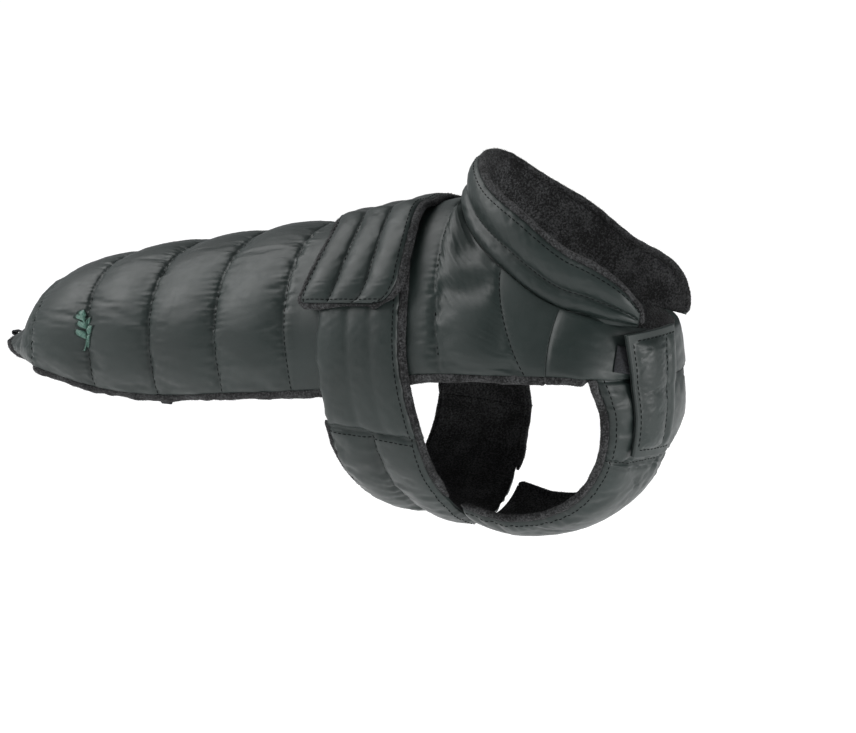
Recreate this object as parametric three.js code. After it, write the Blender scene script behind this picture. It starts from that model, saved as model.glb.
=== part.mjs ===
import * as THREE from 'three';

// Quilted dog coat, worn form, in mm. The head end is +X, the wearer's right side is -Y, up is +Z.
// The origin is on the inner face of the back panel at the nape seam.

// Cloth thickness
const SEAM = 2.4; // shell, wadding and lining pressed together at a seam
const PUFF = 4.0; // how far a full quilt channel stands above its seams
const GAP = 0.35; // space left between neighbouring pieces

// Quilting of the back panel
const CHANNELS = 6; // whole channels from the rump line to the nape line
const PITCH_TOP = 44.5; // between quilt lines along the spine
const PITCH_HEM = 47.5; // between quilt lines along the hem
const LEAN = 18; // how far the nape line runs forward from spine to armhole
const RUMP = -CHANNELS * PITCH_TOP; // spine position of the rump line
const TAIL = 61; // rump line to the tail tip
const SWEEP = 1.4; // power by which quilt lines lean toward the hem
const TAIL_HALF = 46; // half the tail edge's width
const TAIL_Z = -95; // height of the tail tip
const TAIL_SIDE = 0.87; // share of the tail's length that its sides fall short
const TAIL_TURN = 0.6; // share of its length along the spine over which it falls before it turns out
const HEM_REACH = 0.12; // share of the half width over which a channel closes at the hem

// Neck
const NECK_LONG = 59; // half the neck seam's length, nape to throat
const NECK_WIDE = 48; // half its width
const SHOULDER_X = 76; // seam between back panel and yoke
const FRONT_X = 116; // front middle
const YOKE_Z = -87; // seam between yoke and bib
const NECK_DROP = 11; // how much lower the neck edge is at the throat than at the shoulder seams
const H_ANGLE = 74; // where the wing's quilt line meets the neck seam, in degrees round the neck
const H_LOW = 65; // X of that line at the armhole
const WING_PUFF = 0.8; // share of PUFF behind the quilt line
const SHOULDER_PUFF = 0.45; // share of PUFF in front of it, on yokes and on the right band

// Worn form: inside of the cloth, a row for each section from rump to chest.
// spine: height at the middle of the back; half: half width; wide: height where it is widest;
// square: 2 is an ellipse, more is boxier; low: height under the belly; edge: back panel's lower edge
const FORM = [
  { x: -270, spine: -53, half: 57, wide: -95, square: 2.4, low: -150, edge: -102 },
  { x: -220, spine: -39, half: 61, wide: -88, square: 2.6, low: -155, edge: -111 },
  { x: -172, spine: -31, half: 63, wide: -84, square: 2.2, low: -158, edge: -112 },
  { x: -124, spine: -23, half: 64, wide: -82, square: 2.0, low: -160, edge: -107 },
  { x: -75, spine: -16, half: 64, wide: -81, square: 2.0, low: -166, edge: -102 },
  { x: -27, spine: -6, half: 64, wide: -82, square: 2.0, low: -169, edge: -95 },
  { x: 0, spine: 0, half: 64, wide: -83, square: 2.0, low: -173, edge: -88 },
  { x: 20, spine: -3, half: 64, wide: -84, square: 2.0, low: -176, edge: -86 },
  { x: 47, spine: -11, half: 63, wide: -84, square: 2.0, low: -178, edge: -85 },
  { x: 76, spine: -34, half: 60, wide: -84, square: 2.0, low: -176, edge: -84 },
];

// Bib: a row for each section down the chest and back under it. x, z: its middle; half: half width;
// round: how far its edges fall back behind the middle
const BIB = [
  { x: 115, z: -87, half: 50, round: 17 },
  { x: 114, z: -108, half: 44, round: 12 },
  { x: 108, z: -130, half: 40, round: 10 },
  { x: 97, z: -148, half: 36, round: 9 },
  { x: 81, z: -162, half: 33, round: 8 },
  { x: 62, z: -171, half: 31, round: 8 },
  { x: 38, z: -176, half: 31, round: 9 },
  { x: 12, z: -175, half: 32, round: 12 },
];

// Collar: a row for each place round the neck, angle 0 at the nape and 180 at the throat.
// height: cloth height; ahead, out: how far it leans forward and outward for each mm of height
const COLLAR = [
  { angle: 0, height: 25, ahead: 0.38, out: 0.0 },
  { angle: 45, height: 27, ahead: 0.25, out: 0.0 },
  { angle: 90, height: 31, ahead: 0.08, out: -0.04 },
  { angle: 125, height: 24, ahead: 0.04, out: 0.08 },
  { angle: 150, height: 20, ahead: 0.0, out: 0.3 },
];

// Bands: a row for each place round the body, angle 0 at the spine, negative on the right side.
// rear, front: its edges along X
const LEFT_BAND = [
  { angle: -69, rear: -66, front: -18 },
  { angle: -66, rear: -66, front: -12 },
  { angle: -60, rear: -64, front: -8 },
  { angle: -45, rear: -61, front: -9 },
  { angle: -30, rear: -62, front: -12 },
  { angle: -15, rear: -70, front: -14 },
  { angle: 0, rear: -77, front: -16 },
  { angle: 60, rear: -60, front: -8 },
  { angle: 90, rear: -57, front: -5 },
  { angle: 115, rear: -54, front: 2 },
];
const RIGHT_BAND = [
  { angle: -115, rear: -54, front: 2 },
  { angle: -90, rear: -57, front: -5 },
  { angle: -60, rear: -57, front: -9 },
  { angle: -30, rear: -55, front: -19 },
];
const BELLY = [
  { angle: 115, rear: -54, front: 2 },
  { angle: 150, rear: -52, front: 8 },
  { angle: 180, rear: -46, front: 10 },
  { angle: 210, rear: -52, front: 8 },
  { angle: 245, rear: -54, front: 2 },
];

// Layers, as heights above the worn form
const UNDER_BAND = 4.2; // inside of a band that lies on the back panel
const UNDER_FLAP = 9.2; // inside of the flap where it lies on the right band
const BELLY_LIFT = 0.6; // inside of the belly panel along its middle
const FLAP_CHANNELS = 3;
const FLAP_PUFF = 0.7; // shares of PUFF
const BELLY_PUFF = 0.8;
const BIB_PUFF = 0.6;
const COLLAR_PUFF = 0.75;
const PRESSED = 0.8; // share of the back panel's puff lost under the bands

const NYLON = new THREE.MeshStandardMaterial({ color: 0x2c3634, roughness: 0.42, metalness: 0 });
const FLEECE = new THREE.MeshStandardMaterial({ color: 0x3d3d3f, roughness: 0.95, metalness: 0 });
const CORD = new THREE.MeshStandardMaterial({ color: 0x202221, roughness: 0.8, metalness: 0 });

const coat = new THREE.Group();

const deg = THREE.MathUtils.degToRad;
const lerp = THREE.MathUtils.lerp;
const step = THREE.MathUtils.smoothstep;

// Smooth value of one column of a table at key = at
function read(table, key, column, at) {
  let i = 0;
  while (i < table.length - 2 && table[i + 1][key] < at) i += 1;
  const slope = (a, b) => (table[b][column] - table[a][column]) / (table[b][key] - table[a][key]);
  const last = table.length - 1;
  const width = table[i + 1][key] - table[i][key];
  const t = (at - table[i][key]) / width;
  if (t < 0) return table[0][column] + slope(0, 1) * (at - table[0][key]);
  if (t > 1) return table[last][column] + slope(last - 1, last) * (at - table[last][key]);
  const s0 = i > 0 ? slope(i - 1, i + 1) : slope(0, 1);
  const s1 = i < last - 1 ? slope(i, i + 2) : slope(last - 1, last);
  const a = 2 * t ** 3 - 3 * t ** 2 + 1;
  const b = 3 * t ** 2 - 2 * t ** 3;
  const c = t ** 3 - 2 * t ** 2 + t;
  const d = t ** 3 - t ** 2;
  return a * table[i][column] + b * table[i + 1][column] + width * (c * s0 + d * s1);
}

// Point of the worn form at x, angle degrees round from the spine, + to the left side
function barrel(x, angle) {
  const row = (column) => read(FORM, 'x', column, x);
  const a = deg(Math.abs(angle));
  const power = a < Math.PI / 2 ? 2 / row('square') : 1;
  const reach = a < Math.PI / 2 ? row('spine') : row('low');
  const y = row('half') * Math.abs(Math.sin(a)) ** power * Math.sign(angle) * Math.sign(Math.sin(a));
  const z = lerp(row('wide'), reach, Math.abs(Math.cos(a)) ** power);
  return new THREE.Vector3(x, y, z);
}

// Angle of the back panel's lower edge at x
function edgeAngle(x) {
  const wide = read(FORM, 'x', 'wide', x);
  const low = read(FORM, 'x', 'low', x);
  return 180 - THREE.MathUtils.radToDeg(Math.acos((wide - read(FORM, 'x', 'edge', x)) / (wide - low)));
}

const ONE = 0.9999; // keeps the last quilt line inside its own channel

// Rise of a quilt channel across it, 0 at its seams and 1 at its middle
function puff(across) {
  return Math.sin(Math.PI * (across - Math.floor(across))) ** 0.6;
}

// Rise that closes to 0 within some reach of an edge
function closing(distance, reach) {
  return Math.sqrt(THREE.MathUtils.clamp(distance / reach, 0, 1));
}

// A sheet of points, rows by columns; at(i, j) gives point, inner and outer heights
function sheet(rows, columns, at) {
  const cells = [];
  for (let i = 0; i <= rows; i += 1) {
    const line = [];
    for (let j = 0; j <= columns; j += 1) line.push(at(i, j));
    cells.push(line);
  }
  const pick = (i, j) => {
    const r = THREE.MathUtils.clamp(i, 0, rows);
    const c = THREE.MathUtils.clamp(j, 0, columns);
    return cells[r][c].point;
  };
  let outward = 0;
  cells.forEach((line, i) => line.forEach((cell, j) => {
    const along = pick(i + 1, j).clone().sub(pick(i - 1, j));
    const across = pick(i, j + 1).clone().sub(pick(i, j - 1));
    cell.normal = along.cross(across).normalize();
    const core = new THREE.Vector3(Math.min(cell.point.x, SHOULDER_X), 0, YOKE_Z);
    outward += cell.normal.dot(core.sub(cell.point)) < 0 ? 1 : -1;
  }));
  if (outward < 0) cells.forEach((line) => line.forEach((cell) => cell.normal.negate()));
  return cells;
}

// One closed solid from sheets that share edge points
function cloth(name, sheets, material) {
  const places = new Map();
  const nodes = [];
  const number = (cell) => {
    const key = cell.point.toArray().map((value) => Math.round(value * 100)).join();
    if (!places.has(key)) {
      places.set(key, nodes.length);
      nodes.push({ ...cell, sum: new THREE.Vector3() });
    }
    const id = places.get(key);
    nodes[id].sum.add(cell.normal);
    return id;
  };
  const faces = [];
  for (const cells of sheets) {
    const ids = cells.map((line) => line.map(number));
    for (let i = 0; i + 1 < ids.length; i += 1) {
      for (let j = 0; j + 1 < ids[i].length; j += 1) {
        faces.push([ids[i][j], ids[i + 1][j], ids[i + 1][j + 1]], [ids[i][j], ids[i + 1][j + 1], ids[i][j + 1]]);
      }
    }
  }
  const kept = faces.filter((face) => new Set(face).size === 3);
  const sides = new Map();
  kept.forEach(([a, b, c]) => [[a, b], [b, c], [c, a]].forEach(([s, e]) => sides.set(`${s}_${e}`, [s, e])));
  const count = nodes.length;
  const index = [];
  kept.forEach(([a, b, c]) => index.push(a, b, c, a + count, c + count, b + count));
  for (const [s, e] of sides.values()) {
    if (!sides.has(`${e}_${s}`)) index.push(e, s, s + count, e, s + count, e + count);
  }
  const position = [];
  for (const height of ['outer', 'inner']) {
    for (const node of nodes) {
      const normal = node.sum.clone().normalize();
      position.push(...node.point.clone().addScaledVector(normal, node[height]).toArray());
    }
  }
  addSolid(name, position, index, material);
}

// Adds a named mesh, turned so that its faces point out
function addSolid(name, position, index, material) {
  const corner = (k) => new THREE.Vector3().fromArray(position, 3 * k);
  let volume = 0;
  for (let k = 0; k < index.length; k += 3) {
    volume += corner(index[k]).dot(corner(index[k + 1]).cross(corner(index[k + 2])));
  }
  const turned = volume < 0 ? [...index].reverse() : index;
  const geometry = new THREE.BufferGeometry();
  geometry.setAttribute('position', new THREE.Float32BufferAttribute(position, 3));
  geometry.setIndex(turned);
  geometry.computeVertexNormals();
  const mesh = new THREE.Mesh(geometry, material);
  mesh.name = name;
  coat.add(mesh);
}

// Back panel. Place runs 0 at the rump line to CHANNELS at the nape line; v is -1 to 1 across
function hemX(place) {
  return LEAN + (place - CHANNELS) * PITCH_HEM;
}
function backAt(place, v) {
  const top = RUMP + place * PITCH_TOP;
  const side = Math.abs(v);
  const x = lerp(top, hemX(place), side ** SWEEP);
  const angle = side * edgeAngle(hemX(place)) * Math.sign(v);
  const point = barrel(x, angle);
  const pressed = 1 - PRESSED * step(x, -92, -78) * (1 - step(x, 3, 14));
  const rise = PUFF * puff(place) * closing(1 - side, HEM_REACH) * pressed;
  return { point, inner: 0, outer: SEAM + rise };
}
// Behind the rump line: t is 0 there and 1 at the tail edge
function tailAt(t, v) {
  const start = backAt(0, v).point;
  const side = Math.abs(v);
  const end = new THREE.Vector3();
  end.x = RUMP - TAIL * (1 - TAIL_SIDE * side ** 1.3);
  end.y = TAIL_HALF * Math.sin(deg(90 * side)) * Math.sign(v);
  end.z = TAIL_Z - 6 * side ** 2;
  const point = start.clone().lerp(end, t);
  const fall = lerp(t, step(t, 0, TAIL_TURN), TAIL_TURN);
  point.z = lerp(start.z, end.z, lerp(fall, t, side ** 2));
  const rise = PUFF * WING_PUFF * puff(t * ONE) * closing(1 - side, HEM_REACH);
  return { point, inner: 0, outer: SEAM + rise };
}
// Neck seam on the worn form, angle 0 at the nape
function neckSeam(angle) {
  const x = NECK_LONG * (1 - Math.cos(deg(angle)));
  const y = NECK_WIDE * Math.sin(deg(angle));
  return { x, y, round: THREE.MathUtils.radToDeg(Math.asin(y / read(FORM, 'x', 'half', x))) };
}
const SHOULDER_ANGLE = THREE.MathUtils.radToDeg(Math.acos(1 - SHOULDER_X / NECK_LONG));
// Wing beside the neck: place 0 nape line, 1 quilt line, 2 shoulder seam; v 0 neck to 1 armhole
function wingAt(place, v, side) {
  const angle = place < 1 ? place * H_ANGLE : lerp(H_ANGLE, SHOULDER_ANGLE, place - 1);
  const neck = neckSeam(angle);
  const low = place < 1 ? lerp(LEAN, H_LOW, place) : lerp(H_LOW, SHOULDER_X, place - 1);
  const x = lerp(neck.x, low, v ** SWEEP);
  const point = barrel(x, side * lerp(neck.round, edgeAngle(low), v));
  const full = PUFF * (place < 1 ? WING_PUFF : SHOULDER_PUFF);
  const rise = full * puff(place * ONE) * closing(v, 0.15) * closing(1 - v, HEM_REACH);
  return { point, inner: 0, outer: SEAM + rise };
}
const HALF = 11; // cells from spine to hem
const PER_CHANNEL = 5; // cells across a channel
const main = sheet(CHANNELS * PER_CHANNEL, 2 * HALF, (i, j) => backAt(i / PER_CHANNEL, j / HALF - 1));
const tail = sheet(6, 2 * HALF, (i, j) => tailAt(1 - i / 6, j / HALF - 1));
const wings = [-1, 1].map((side) => sheet(8, HALF, (i, j) => {
  const place = i < 5 ? i / 5 : 1 + (i - 5) / 3;
  const v = side > 0 ? j / HALF : 1 - j / HALF;
  return wingAt(place, v, side);
}));
cloth('back_panel', [tail, main, ...wings], NYLON);

// Yoke: the shoulder seam's section carried round to the front middle; t 0 seam to 1 middle
const YOKE_TURN = FRONT_X - SHOULDER_X;
function yokeAt(t, v, side) {
  const neck = neckSeam(SHOULDER_ANGLE);
  const start = barrel(SHOULDER_X, side * lerp(neck.round, edgeAngle(SHOULDER_X), v));
  const a = deg(90 * t);
  const low = lerp(read(FORM, 'x', 'edge', SHOULDER_X), YOKE_Z, step(t, 0, 0.35));
  const z = lerp(start.z, lerp(start.z - NECK_DROP, low, v), Math.sin(a));
  const point = new THREE.Vector3(SHOULDER_X + YOKE_TURN * Math.sin(a), start.y * Math.cos(a), z);
  const rise = PUFF * SHOULDER_PUFF * closing(t, 0.2) * closing(1 - t, 0.2);
  const outer = SEAM + rise * closing(v, 0.25) * closing(1 - v, 0.25);
  return { point, inner: 0, outer };
}
const ARMHOLE_ROWS = 3; // rows of the yoke whose lower edge is armhole
const ARMHOLE_TURN = 0.365; // share of the yoke's turn that they take
const YOKE_ENDS = [0.009, 0.996]; // leaves GAP at the shoulder seam and at the front middle
const yokes = [-1, 1].map((side) => sheet(9, 5, (i, j) => {
  const past = Math.max(i - ARMHOLE_ROWS, 0) / (9 - ARMHOLE_ROWS);
  const place = i < ARMHOLE_ROWS ? ARMHOLE_TURN * i / ARMHOLE_ROWS : lerp(ARMHOLE_TURN, 1, past);
  return yokeAt(lerp(...YOKE_ENDS, place), side > 0 ? j / 5 : 1 - j / 5, side);
}));
cloth('right_yoke', [yokes[0]], NYLON);
cloth('left_yoke', [yokes[1]], NYLON);

// Bib: t 0 at the yoke seam to 1 between the legs; v -1 to 1 across
const BIB_END = BIB.length - 1;
const BIB_ROWS = BIB.map((row, k) => ({ ...row, place: k / BIB_END }));
const BIB_LINE = 0.3; // its quilt line
const BIB_START = 0.006; // leaves GAP below the yokes
const BIB_ARC = 0.84; // share of the yoke's half width that the bib takes at its top
function bibAt(t, v) {
  const row = (column) => read(BIB_ROWS, 'place', column, t);
  const ahead = new THREE.Vector2(
    read(BIB_ROWS, 'place', 'x', t + 0.01) - read(BIB_ROWS, 'place', 'x', t - 0.01),
    read(BIB_ROWS, 'place', 'z', t + 0.01) - read(BIB_ROWS, 'place', 'z', t - 0.01),
  ).normalize();
  const fall = row('round') * (1 - Math.sqrt(1 - (BIB_ARC * v) ** 2)) / (1 - Math.sqrt(1 - BIB_ARC ** 2));
  const point = new THREE.Vector3(row('x') + ahead.y * fall, row('half') * v, row('z') - ahead.x * fall);
  const across = t < BIB_LINE ? t / BIB_LINE : (t - BIB_LINE) / (1 - BIB_LINE);
  const rise = PUFF * BIB_PUFF * puff(across * ONE) * closing(1 - Math.abs(v), 0.2);
  return { point, inner: 0, outer: SEAM + rise };
}
const bib = sheet(18, 12, (i, j) => bibAt(lerp(BIB_START, 1, i / 18), j / 6 - 1));
cloth('chest_bib', [bib], NYLON);

// A band's sheet from its table of edges; lift(angle) is the height of its inside
function bandAt(table, angle, v, lift, channels, full) {
  const x = lerp(read(table, 'angle', 'rear', angle), read(table, 'angle', 'front', angle), v);
  const point = barrel(x, angle > 180 ? angle - 360 : angle);
  const rise = full * (channels > 0 ? puff(v * channels * ONE) : closing(v, 0.2) * closing(1 - v, 0.2));
  return { point, inner: lift(angle), outer: lift(angle) + SEAM + rise };
}
function bandSheet(table, from, to, steps, across, shape) {
  return sheet(steps, across, (i, j) => shape(lerp(from, to, i / steps), j / across));
}
const seamTurn = 0.2; // half the gap at a band seam, in degrees
const bellySeam = BELLY[0].angle;
const rightTop = -30; // where the right band ends under the flap
const belly = bandSheet(BELLY, bellySeam + seamTurn, 360 - bellySeam - seamTurn, 18, 8, (angle, v) => {
  const ends = closing(angle - bellySeam, 14) * closing(360 - bellySeam - angle, 14);
  const cell = bandAt(BELLY, angle, v, () => UNDER_BAND, 2, PUFF * BELLY_PUFF * ends);
  const lift = lerp(BELLY_LIFT, UNDER_BAND, step(Math.abs(angle - 180), 25, 60));
  return { point: cell.point, inner: lift, outer: cell.outer - UNDER_BAND + lift };
});
cloth('belly_panel', [belly], NYLON);
const rightBand = bandSheet(RIGHT_BAND, -bellySeam + seamTurn, rightTop, 13, 6, (angle, v) => (
  bandAt(RIGHT_BAND, angle, v, () => UNDER_BAND, 0, PUFF * SHOULDER_PUFF * closing(bellySeam + angle, 8))
));
cloth('right_band', [rightBand], NYLON);
const flapLift = (angle) => lerp(UNDER_BAND, UNDER_FLAP, step(-angle, 12, 26));
const flapEnd = LEFT_BAND[0].angle;
const leftBand = bandSheet(LEFT_BAND, flapEnd, bellySeam - seamTurn, 27, 12, (angle, v) => {
  const ends = closing(angle - flapEnd, 6) * closing(bellySeam - angle, 8);
  return bandAt(LEFT_BAND, angle, v, flapLift, FLAP_CHANNELS, PUFF * FLAP_PUFF * ends);
});
cloth('left_band_flap', [leftBand], NYLON);

// Collar: angle round the neck from the nape, h 0 at the seam to 1 at the top
const COLLAR_END = COLLAR[COLLAR.length - 1].angle;
const COLLAR_ROUND = 24; // how much of the turn the rounded end takes
const COLLAR_FLARE = 8; // how far the free ends stand off the chest
const COLLAR_LINE = 0.375; // its quilt line, as a share of its height
const NAPE_RAISE = 2; // lifts it over the puff at the nape
const FRONT_RAISE = 2.2; // lifts it over the yokes' upper edge
function neckPoint(angle, side) {
  if (angle <= SHOULDER_ANGLE) {
    const neck = neckSeam(angle);
    return barrel(neck.x, side * neck.round);
  }
  return yokeAt((angle - SHOULDER_ANGLE) / (180 - SHOULDER_ANGLE), 0, side).point;
}
function collarAt(signed, h) {
  const side = signed < 0 ? -1 : 1;
  const angle = Math.abs(signed);
  const row = (column) => read(COLLAR, 'angle', column, angle);
  const out = new THREE.Vector3(-NECK_WIDE * Math.cos(deg(angle)), side * NECK_LONG * Math.sin(deg(angle)), 0);
  out.normalize();
  const point = neckPoint(angle, side);
  point.addScaledVector(out, COLLAR_FLARE * step(angle, 118, COLLAR_END) - SEAM - GAP);
  point.z += 0.5 + NAPE_RAISE * step(-angle, -45, 0) + FRONT_RAISE * step(angle, 108, 122);
  const toEnd = THREE.MathUtils.clamp((angle - COLLAR_END + COLLAR_ROUND) / COLLAR_ROUND, 0, 1);
  const height = row('height') * Math.sqrt(1 - (0.94 * toEnd) ** 2) * h;
  const up = Math.sqrt(1 - row('ahead') ** 2 - row('out') ** 2);
  point.add(new THREE.Vector3(row('ahead') * height, 0, up * height));
  point.addScaledVector(out, row('out') * height);
  const channel = h < COLLAR_LINE ? h / COLLAR_LINE : (h - COLLAR_LINE) / (1 - COLLAR_LINE);
  const rise = PUFF * COLLAR_PUFF * puff(channel * ONE) * closing(COLLAR_END - angle, 12);
  return { point, inner: 0, outer: SEAM + rise };
}
const collar = sheet(34, 8, (i, j) => collarAt(COLLAR_END * (i / 17 - 1), j / 8));
cloth('stand_collar', [collar], NYLON);

// Front tab over the middle of the chest; c 0 at its sewn edge to 1 at its free edge, r 0 top to 1 foot
const TAB_SEWN = { top: -8, foot: -2 }; // Y of its sewn edge
const TAB_FREE = { top: -40, foot: -30 }; // Y of its free edge
const TAB_TOP = -62.5;
const TAB_FOOT = -126;
const TAB_LIFT = 5.6; // its inside above the chest
const TAB_LINE = 0.25; // its quilt line, as a share of its width from the sewn edge
function chestAt(y, z) {
  if (z >= YOKE_Z) {
    const reach = Math.sqrt(1 - (y / read(FORM, 'x', 'half', SHOULDER_X)) ** 2);
    return new THREE.Vector3(SHOULDER_X + YOKE_TURN * reach, y, z);
  }
  let t = 0;
  while (bibAt(t, 0).point.z > z) t += 0.005;
  return bibAt(t, y / read(BIB_ROWS, 'place', 'half', t)).point;
}
const tab = sheet(10, 8, (i, j) => {
  const c = j / 8;
  const down = i / 10;
  const y = lerp(lerp(TAB_SEWN.top, TAB_FREE.top, c), lerp(TAB_SEWN.foot, TAB_FREE.foot, c), down);
  const point = chestAt(y, lerp(TAB_TOP, TAB_FOOT, down));
  const ends = closing(down, 0.12) * closing(1 - down, 0.12);
  const channel = c < TAB_LINE ? c / TAB_LINE : (c - TAB_LINE) / (1 - TAB_LINE);
  return { point, inner: TAB_LIFT, outer: TAB_LIFT + SEAM + PUFF * BIB_PUFF * puff(channel * ONE) * ends };
});
cloth('front_tab', [tab], NYLON);
// Fastener patch on the right yoke, partly under the tab
const PATCH = { inner: 4.5, outer: 5.3 }; // heights above the yoke's inside
const patch = sheet(4, 3, (i, j) => {
  const point = yokeAt(lerp(0.47, 0.72, i / 4), lerp(0.25, 0.7, 1 - j / 3), -1).point;
  return { point, ...PATCH };
});
cloth('fastener_patch', [patch], CORD);

// Cells along one edge of a sheet, with the direction that points off the cloth
function rim(cells, steps) {
  return steps.map(([i, j, inI, inJ]) => {
    const cell = cells[i][j];
    const out = cell.point.clone().sub(cells[inI][inJ].point);
    out.addScaledVector(cell.normal, -out.dot(cell.normal)).normalize();
    const middle = cell.point.clone().addScaledVector(cell.normal, (cell.inner + cell.outer) / 2);
    return { middle, out, normal: cell.normal.clone() };
  });
}
const count = (from, to) => Array.from({ length: Math.abs(to - from) + 1 }, (_, k) => from + k * Math.sign(to - from));
const side = (j, inJ, from, to) => count(from, to).map((i) => [i, j, i, inJ]);
const end = (i, inI, from, to) => count(from, to).map((j) => [i, j, inI, j]);

// Fleece edging: a soft oval roll just off the cloth's edge
const ROLL_WIDE = 4.6;
const ROLL_THICK = 3.4;
const ROLL_SIDES = 6;
const ROLL_OFF = GAP + 0.15; // cloth's edge to the roll
function edging(name, path) {
  const joined = [];
  for (const spot of path) {
    const before = joined[joined.length - 1];
    if (before && before.middle.distanceTo(spot.middle) < 0.8) {
      before.out.add(spot.out);
      before.normal.add(spot.normal);
    } else joined.push(spot);
  }
  const position = [];
  const index = [];
  joined.forEach((spot) => {
    spot.out.normalize();
    spot.normal.normalize();
    const centre = spot.middle.clone().addScaledVector(spot.out, ROLL_OFF + ROLL_WIDE / 2);
    for (let k = 0; k < ROLL_SIDES; k += 1) {
      const a = (k * 2 * Math.PI) / ROLL_SIDES;
      const corner = centre.clone().addScaledVector(spot.out, ROLL_WIDE / 2 * Math.cos(a));
      position.push(...corner.addScaledVector(spot.normal, ROLL_THICK / 2 * Math.sin(a)).toArray());
    }
  });
  for (let r = 0; r + 1 < joined.length; r += 1) {
    for (let k = 0; k < ROLL_SIDES; k += 1) {
      const a = r * ROLL_SIDES + k;
      const b = r * ROLL_SIDES + (k + 1) % ROLL_SIDES;
      index.push(a, b, b + ROLL_SIDES, a, b + ROLL_SIDES, a + ROLL_SIDES);
    }
  }
  const last = (joined.length - 1) * ROLL_SIDES;
  for (let k = 1; k + 1 < ROLL_SIDES; k += 1) index.push(0, k + 1, k, last, last + k, last + k + 1);
  addSolid(name, position, index, FLEECE);
}
const H2 = 2 * HALF;
edging('hem_edging', [
  ...rim(wings[0], side(0, 1, 8, 0)), ...rim(main, side(0, 1, 30, 0)), ...rim(tail, side(0, 1, 6, 0)),
  ...rim(tail, end(0, 1, 0, H2)), ...rim(tail, side(H2, H2 - 1, 0, 6)), ...rim(main, side(H2, H2 - 1, 0, 30)),
  ...rim(wings[1], side(HALF, HALF - 1, 0, 8)),
]);
edging('right_armhole_edging', [...rim(yokes[0], side(0, 1, 0, ARMHOLE_ROWS)), ...rim(bib, side(0, 1, 0, 18))]);
edging('left_armhole_edging', [...rim(yokes[1], side(5, 4, 0, ARMHOLE_ROWS)), ...rim(bib, side(12, 11, 0, 18))]);
edging('right_band_edging', [...rim(rightBand, side(6, 5, 13, 0)), ...rim(belly, side(8, 7, 18, 14))]);
edging('left_band_edging', [
  ...rim(leftBand, side(0, 1, 27, 0)), ...rim(leftBand, end(0, 1, 0, 12)), ...rim(leftBand, side(12, 11, 0, 27)),
  ...rim(belly, side(8, 7, 0, 4)),
]);
edging('belly_edging', rim(belly, side(0, 1, 0, 18)));
edging('collar_edging', [
  ...rim(collar, end(0, 1, 1, 8)), ...rim(collar, side(8, 7, 0, 34)), ...rim(collar, end(34, 33, 8, 1)),
]);

// Small loop ends: one at the tail tip, one in each side of the hem
function loopEnd(name, spot, wide, long, thick) {
  const along = spot.out.clone().cross(spot.normal).normalize();
  const box = new THREE.BoxGeometry(wide, long, thick, 1, 1, 1);
  const centre = spot.middle.clone().addScaledVector(spot.out, ROLL_OFF + ROLL_WIDE + GAP + long / 2);
  box.applyMatrix4(new THREE.Matrix4().makeBasis(along, spot.out, spot.normal).setPosition(centre));
  const mesh = new THREE.Mesh(box, CORD);
  mesh.name = name;
  coat.add(mesh);
}
loopEnd('tail_loop', rim(tail, [[0, HALF, 1, HALF]])[0], 5, 4, 3.2);
loopEnd('right_hem_loop', rim(main, [[11, 0, 11, 1]])[0], 7, 3, 2.4);
loopEnd('left_hem_loop', rim(main, [[11, H2, 11, H2 - 1]])[0], 7, 3, 2.4);

export default coat;
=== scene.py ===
import math

import bpy
import numpy as np
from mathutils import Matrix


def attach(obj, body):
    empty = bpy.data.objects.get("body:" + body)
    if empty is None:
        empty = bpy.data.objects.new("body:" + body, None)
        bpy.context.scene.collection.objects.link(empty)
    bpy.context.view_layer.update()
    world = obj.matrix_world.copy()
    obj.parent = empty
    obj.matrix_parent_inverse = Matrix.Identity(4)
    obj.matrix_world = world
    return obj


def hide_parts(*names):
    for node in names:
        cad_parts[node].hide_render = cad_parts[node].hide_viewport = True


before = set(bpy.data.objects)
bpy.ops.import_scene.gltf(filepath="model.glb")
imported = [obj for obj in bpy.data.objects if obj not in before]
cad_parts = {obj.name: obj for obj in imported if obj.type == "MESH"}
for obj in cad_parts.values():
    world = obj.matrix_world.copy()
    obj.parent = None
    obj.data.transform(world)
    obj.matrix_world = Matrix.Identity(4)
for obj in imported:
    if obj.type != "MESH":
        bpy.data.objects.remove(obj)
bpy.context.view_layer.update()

# Back panel
# One large piece of shell nylon over wadding and fleece, from the tail to the shoulder seams, stitched
# across the back into wide channels. The wadding swells each channel, and the nylon, cut longer than the
# seams that hold it, gathers along them.
MM = 0.001
SEAM = 2.4  # shell, wadding and lining pressed together
CHANNELS = 6
PITCH_TOP = 44.5
PITCH_HEM = 47.5
LEAN = 18
RUMP = -CHANNELS * PITCH_TOP
TAIL = 61
TAIL_HALF = 46
TAIL_Z = -95
TAIL_SIDE = 0.87
TAIL_TURN = 0.6
NECK_LONG = 59
NECK_WIDE = 48
SHOULDER_X = 76
YOKE_Z = -87
NECK_DROP = 11
H_ANGLE = 74
H_LOW = 65
FORM = {
    "x": [-270, -220, -172, -124, -75, -27, 0, 20, 47, 76],
    "spine": [-53, -39, -31, -23, -16, -6, 0, -3, -11, -34],
    "half": [57, 61, 63, 64, 64, 64, 64, 64, 63, 60],
    "wide": [-95, -88, -84, -82, -81, -82, -83, -84, -84, -84],
    "square": [2.4, 2.6, 2.2, 2, 2, 2, 2, 2, 2, 2],
    "low": [-150, -155, -158, -160, -166, -169, -173, -176, -178, -176],
    "edge": [-102, -111, -112, -107, -102, -95, -88, -86, -85, -84],
}


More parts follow.
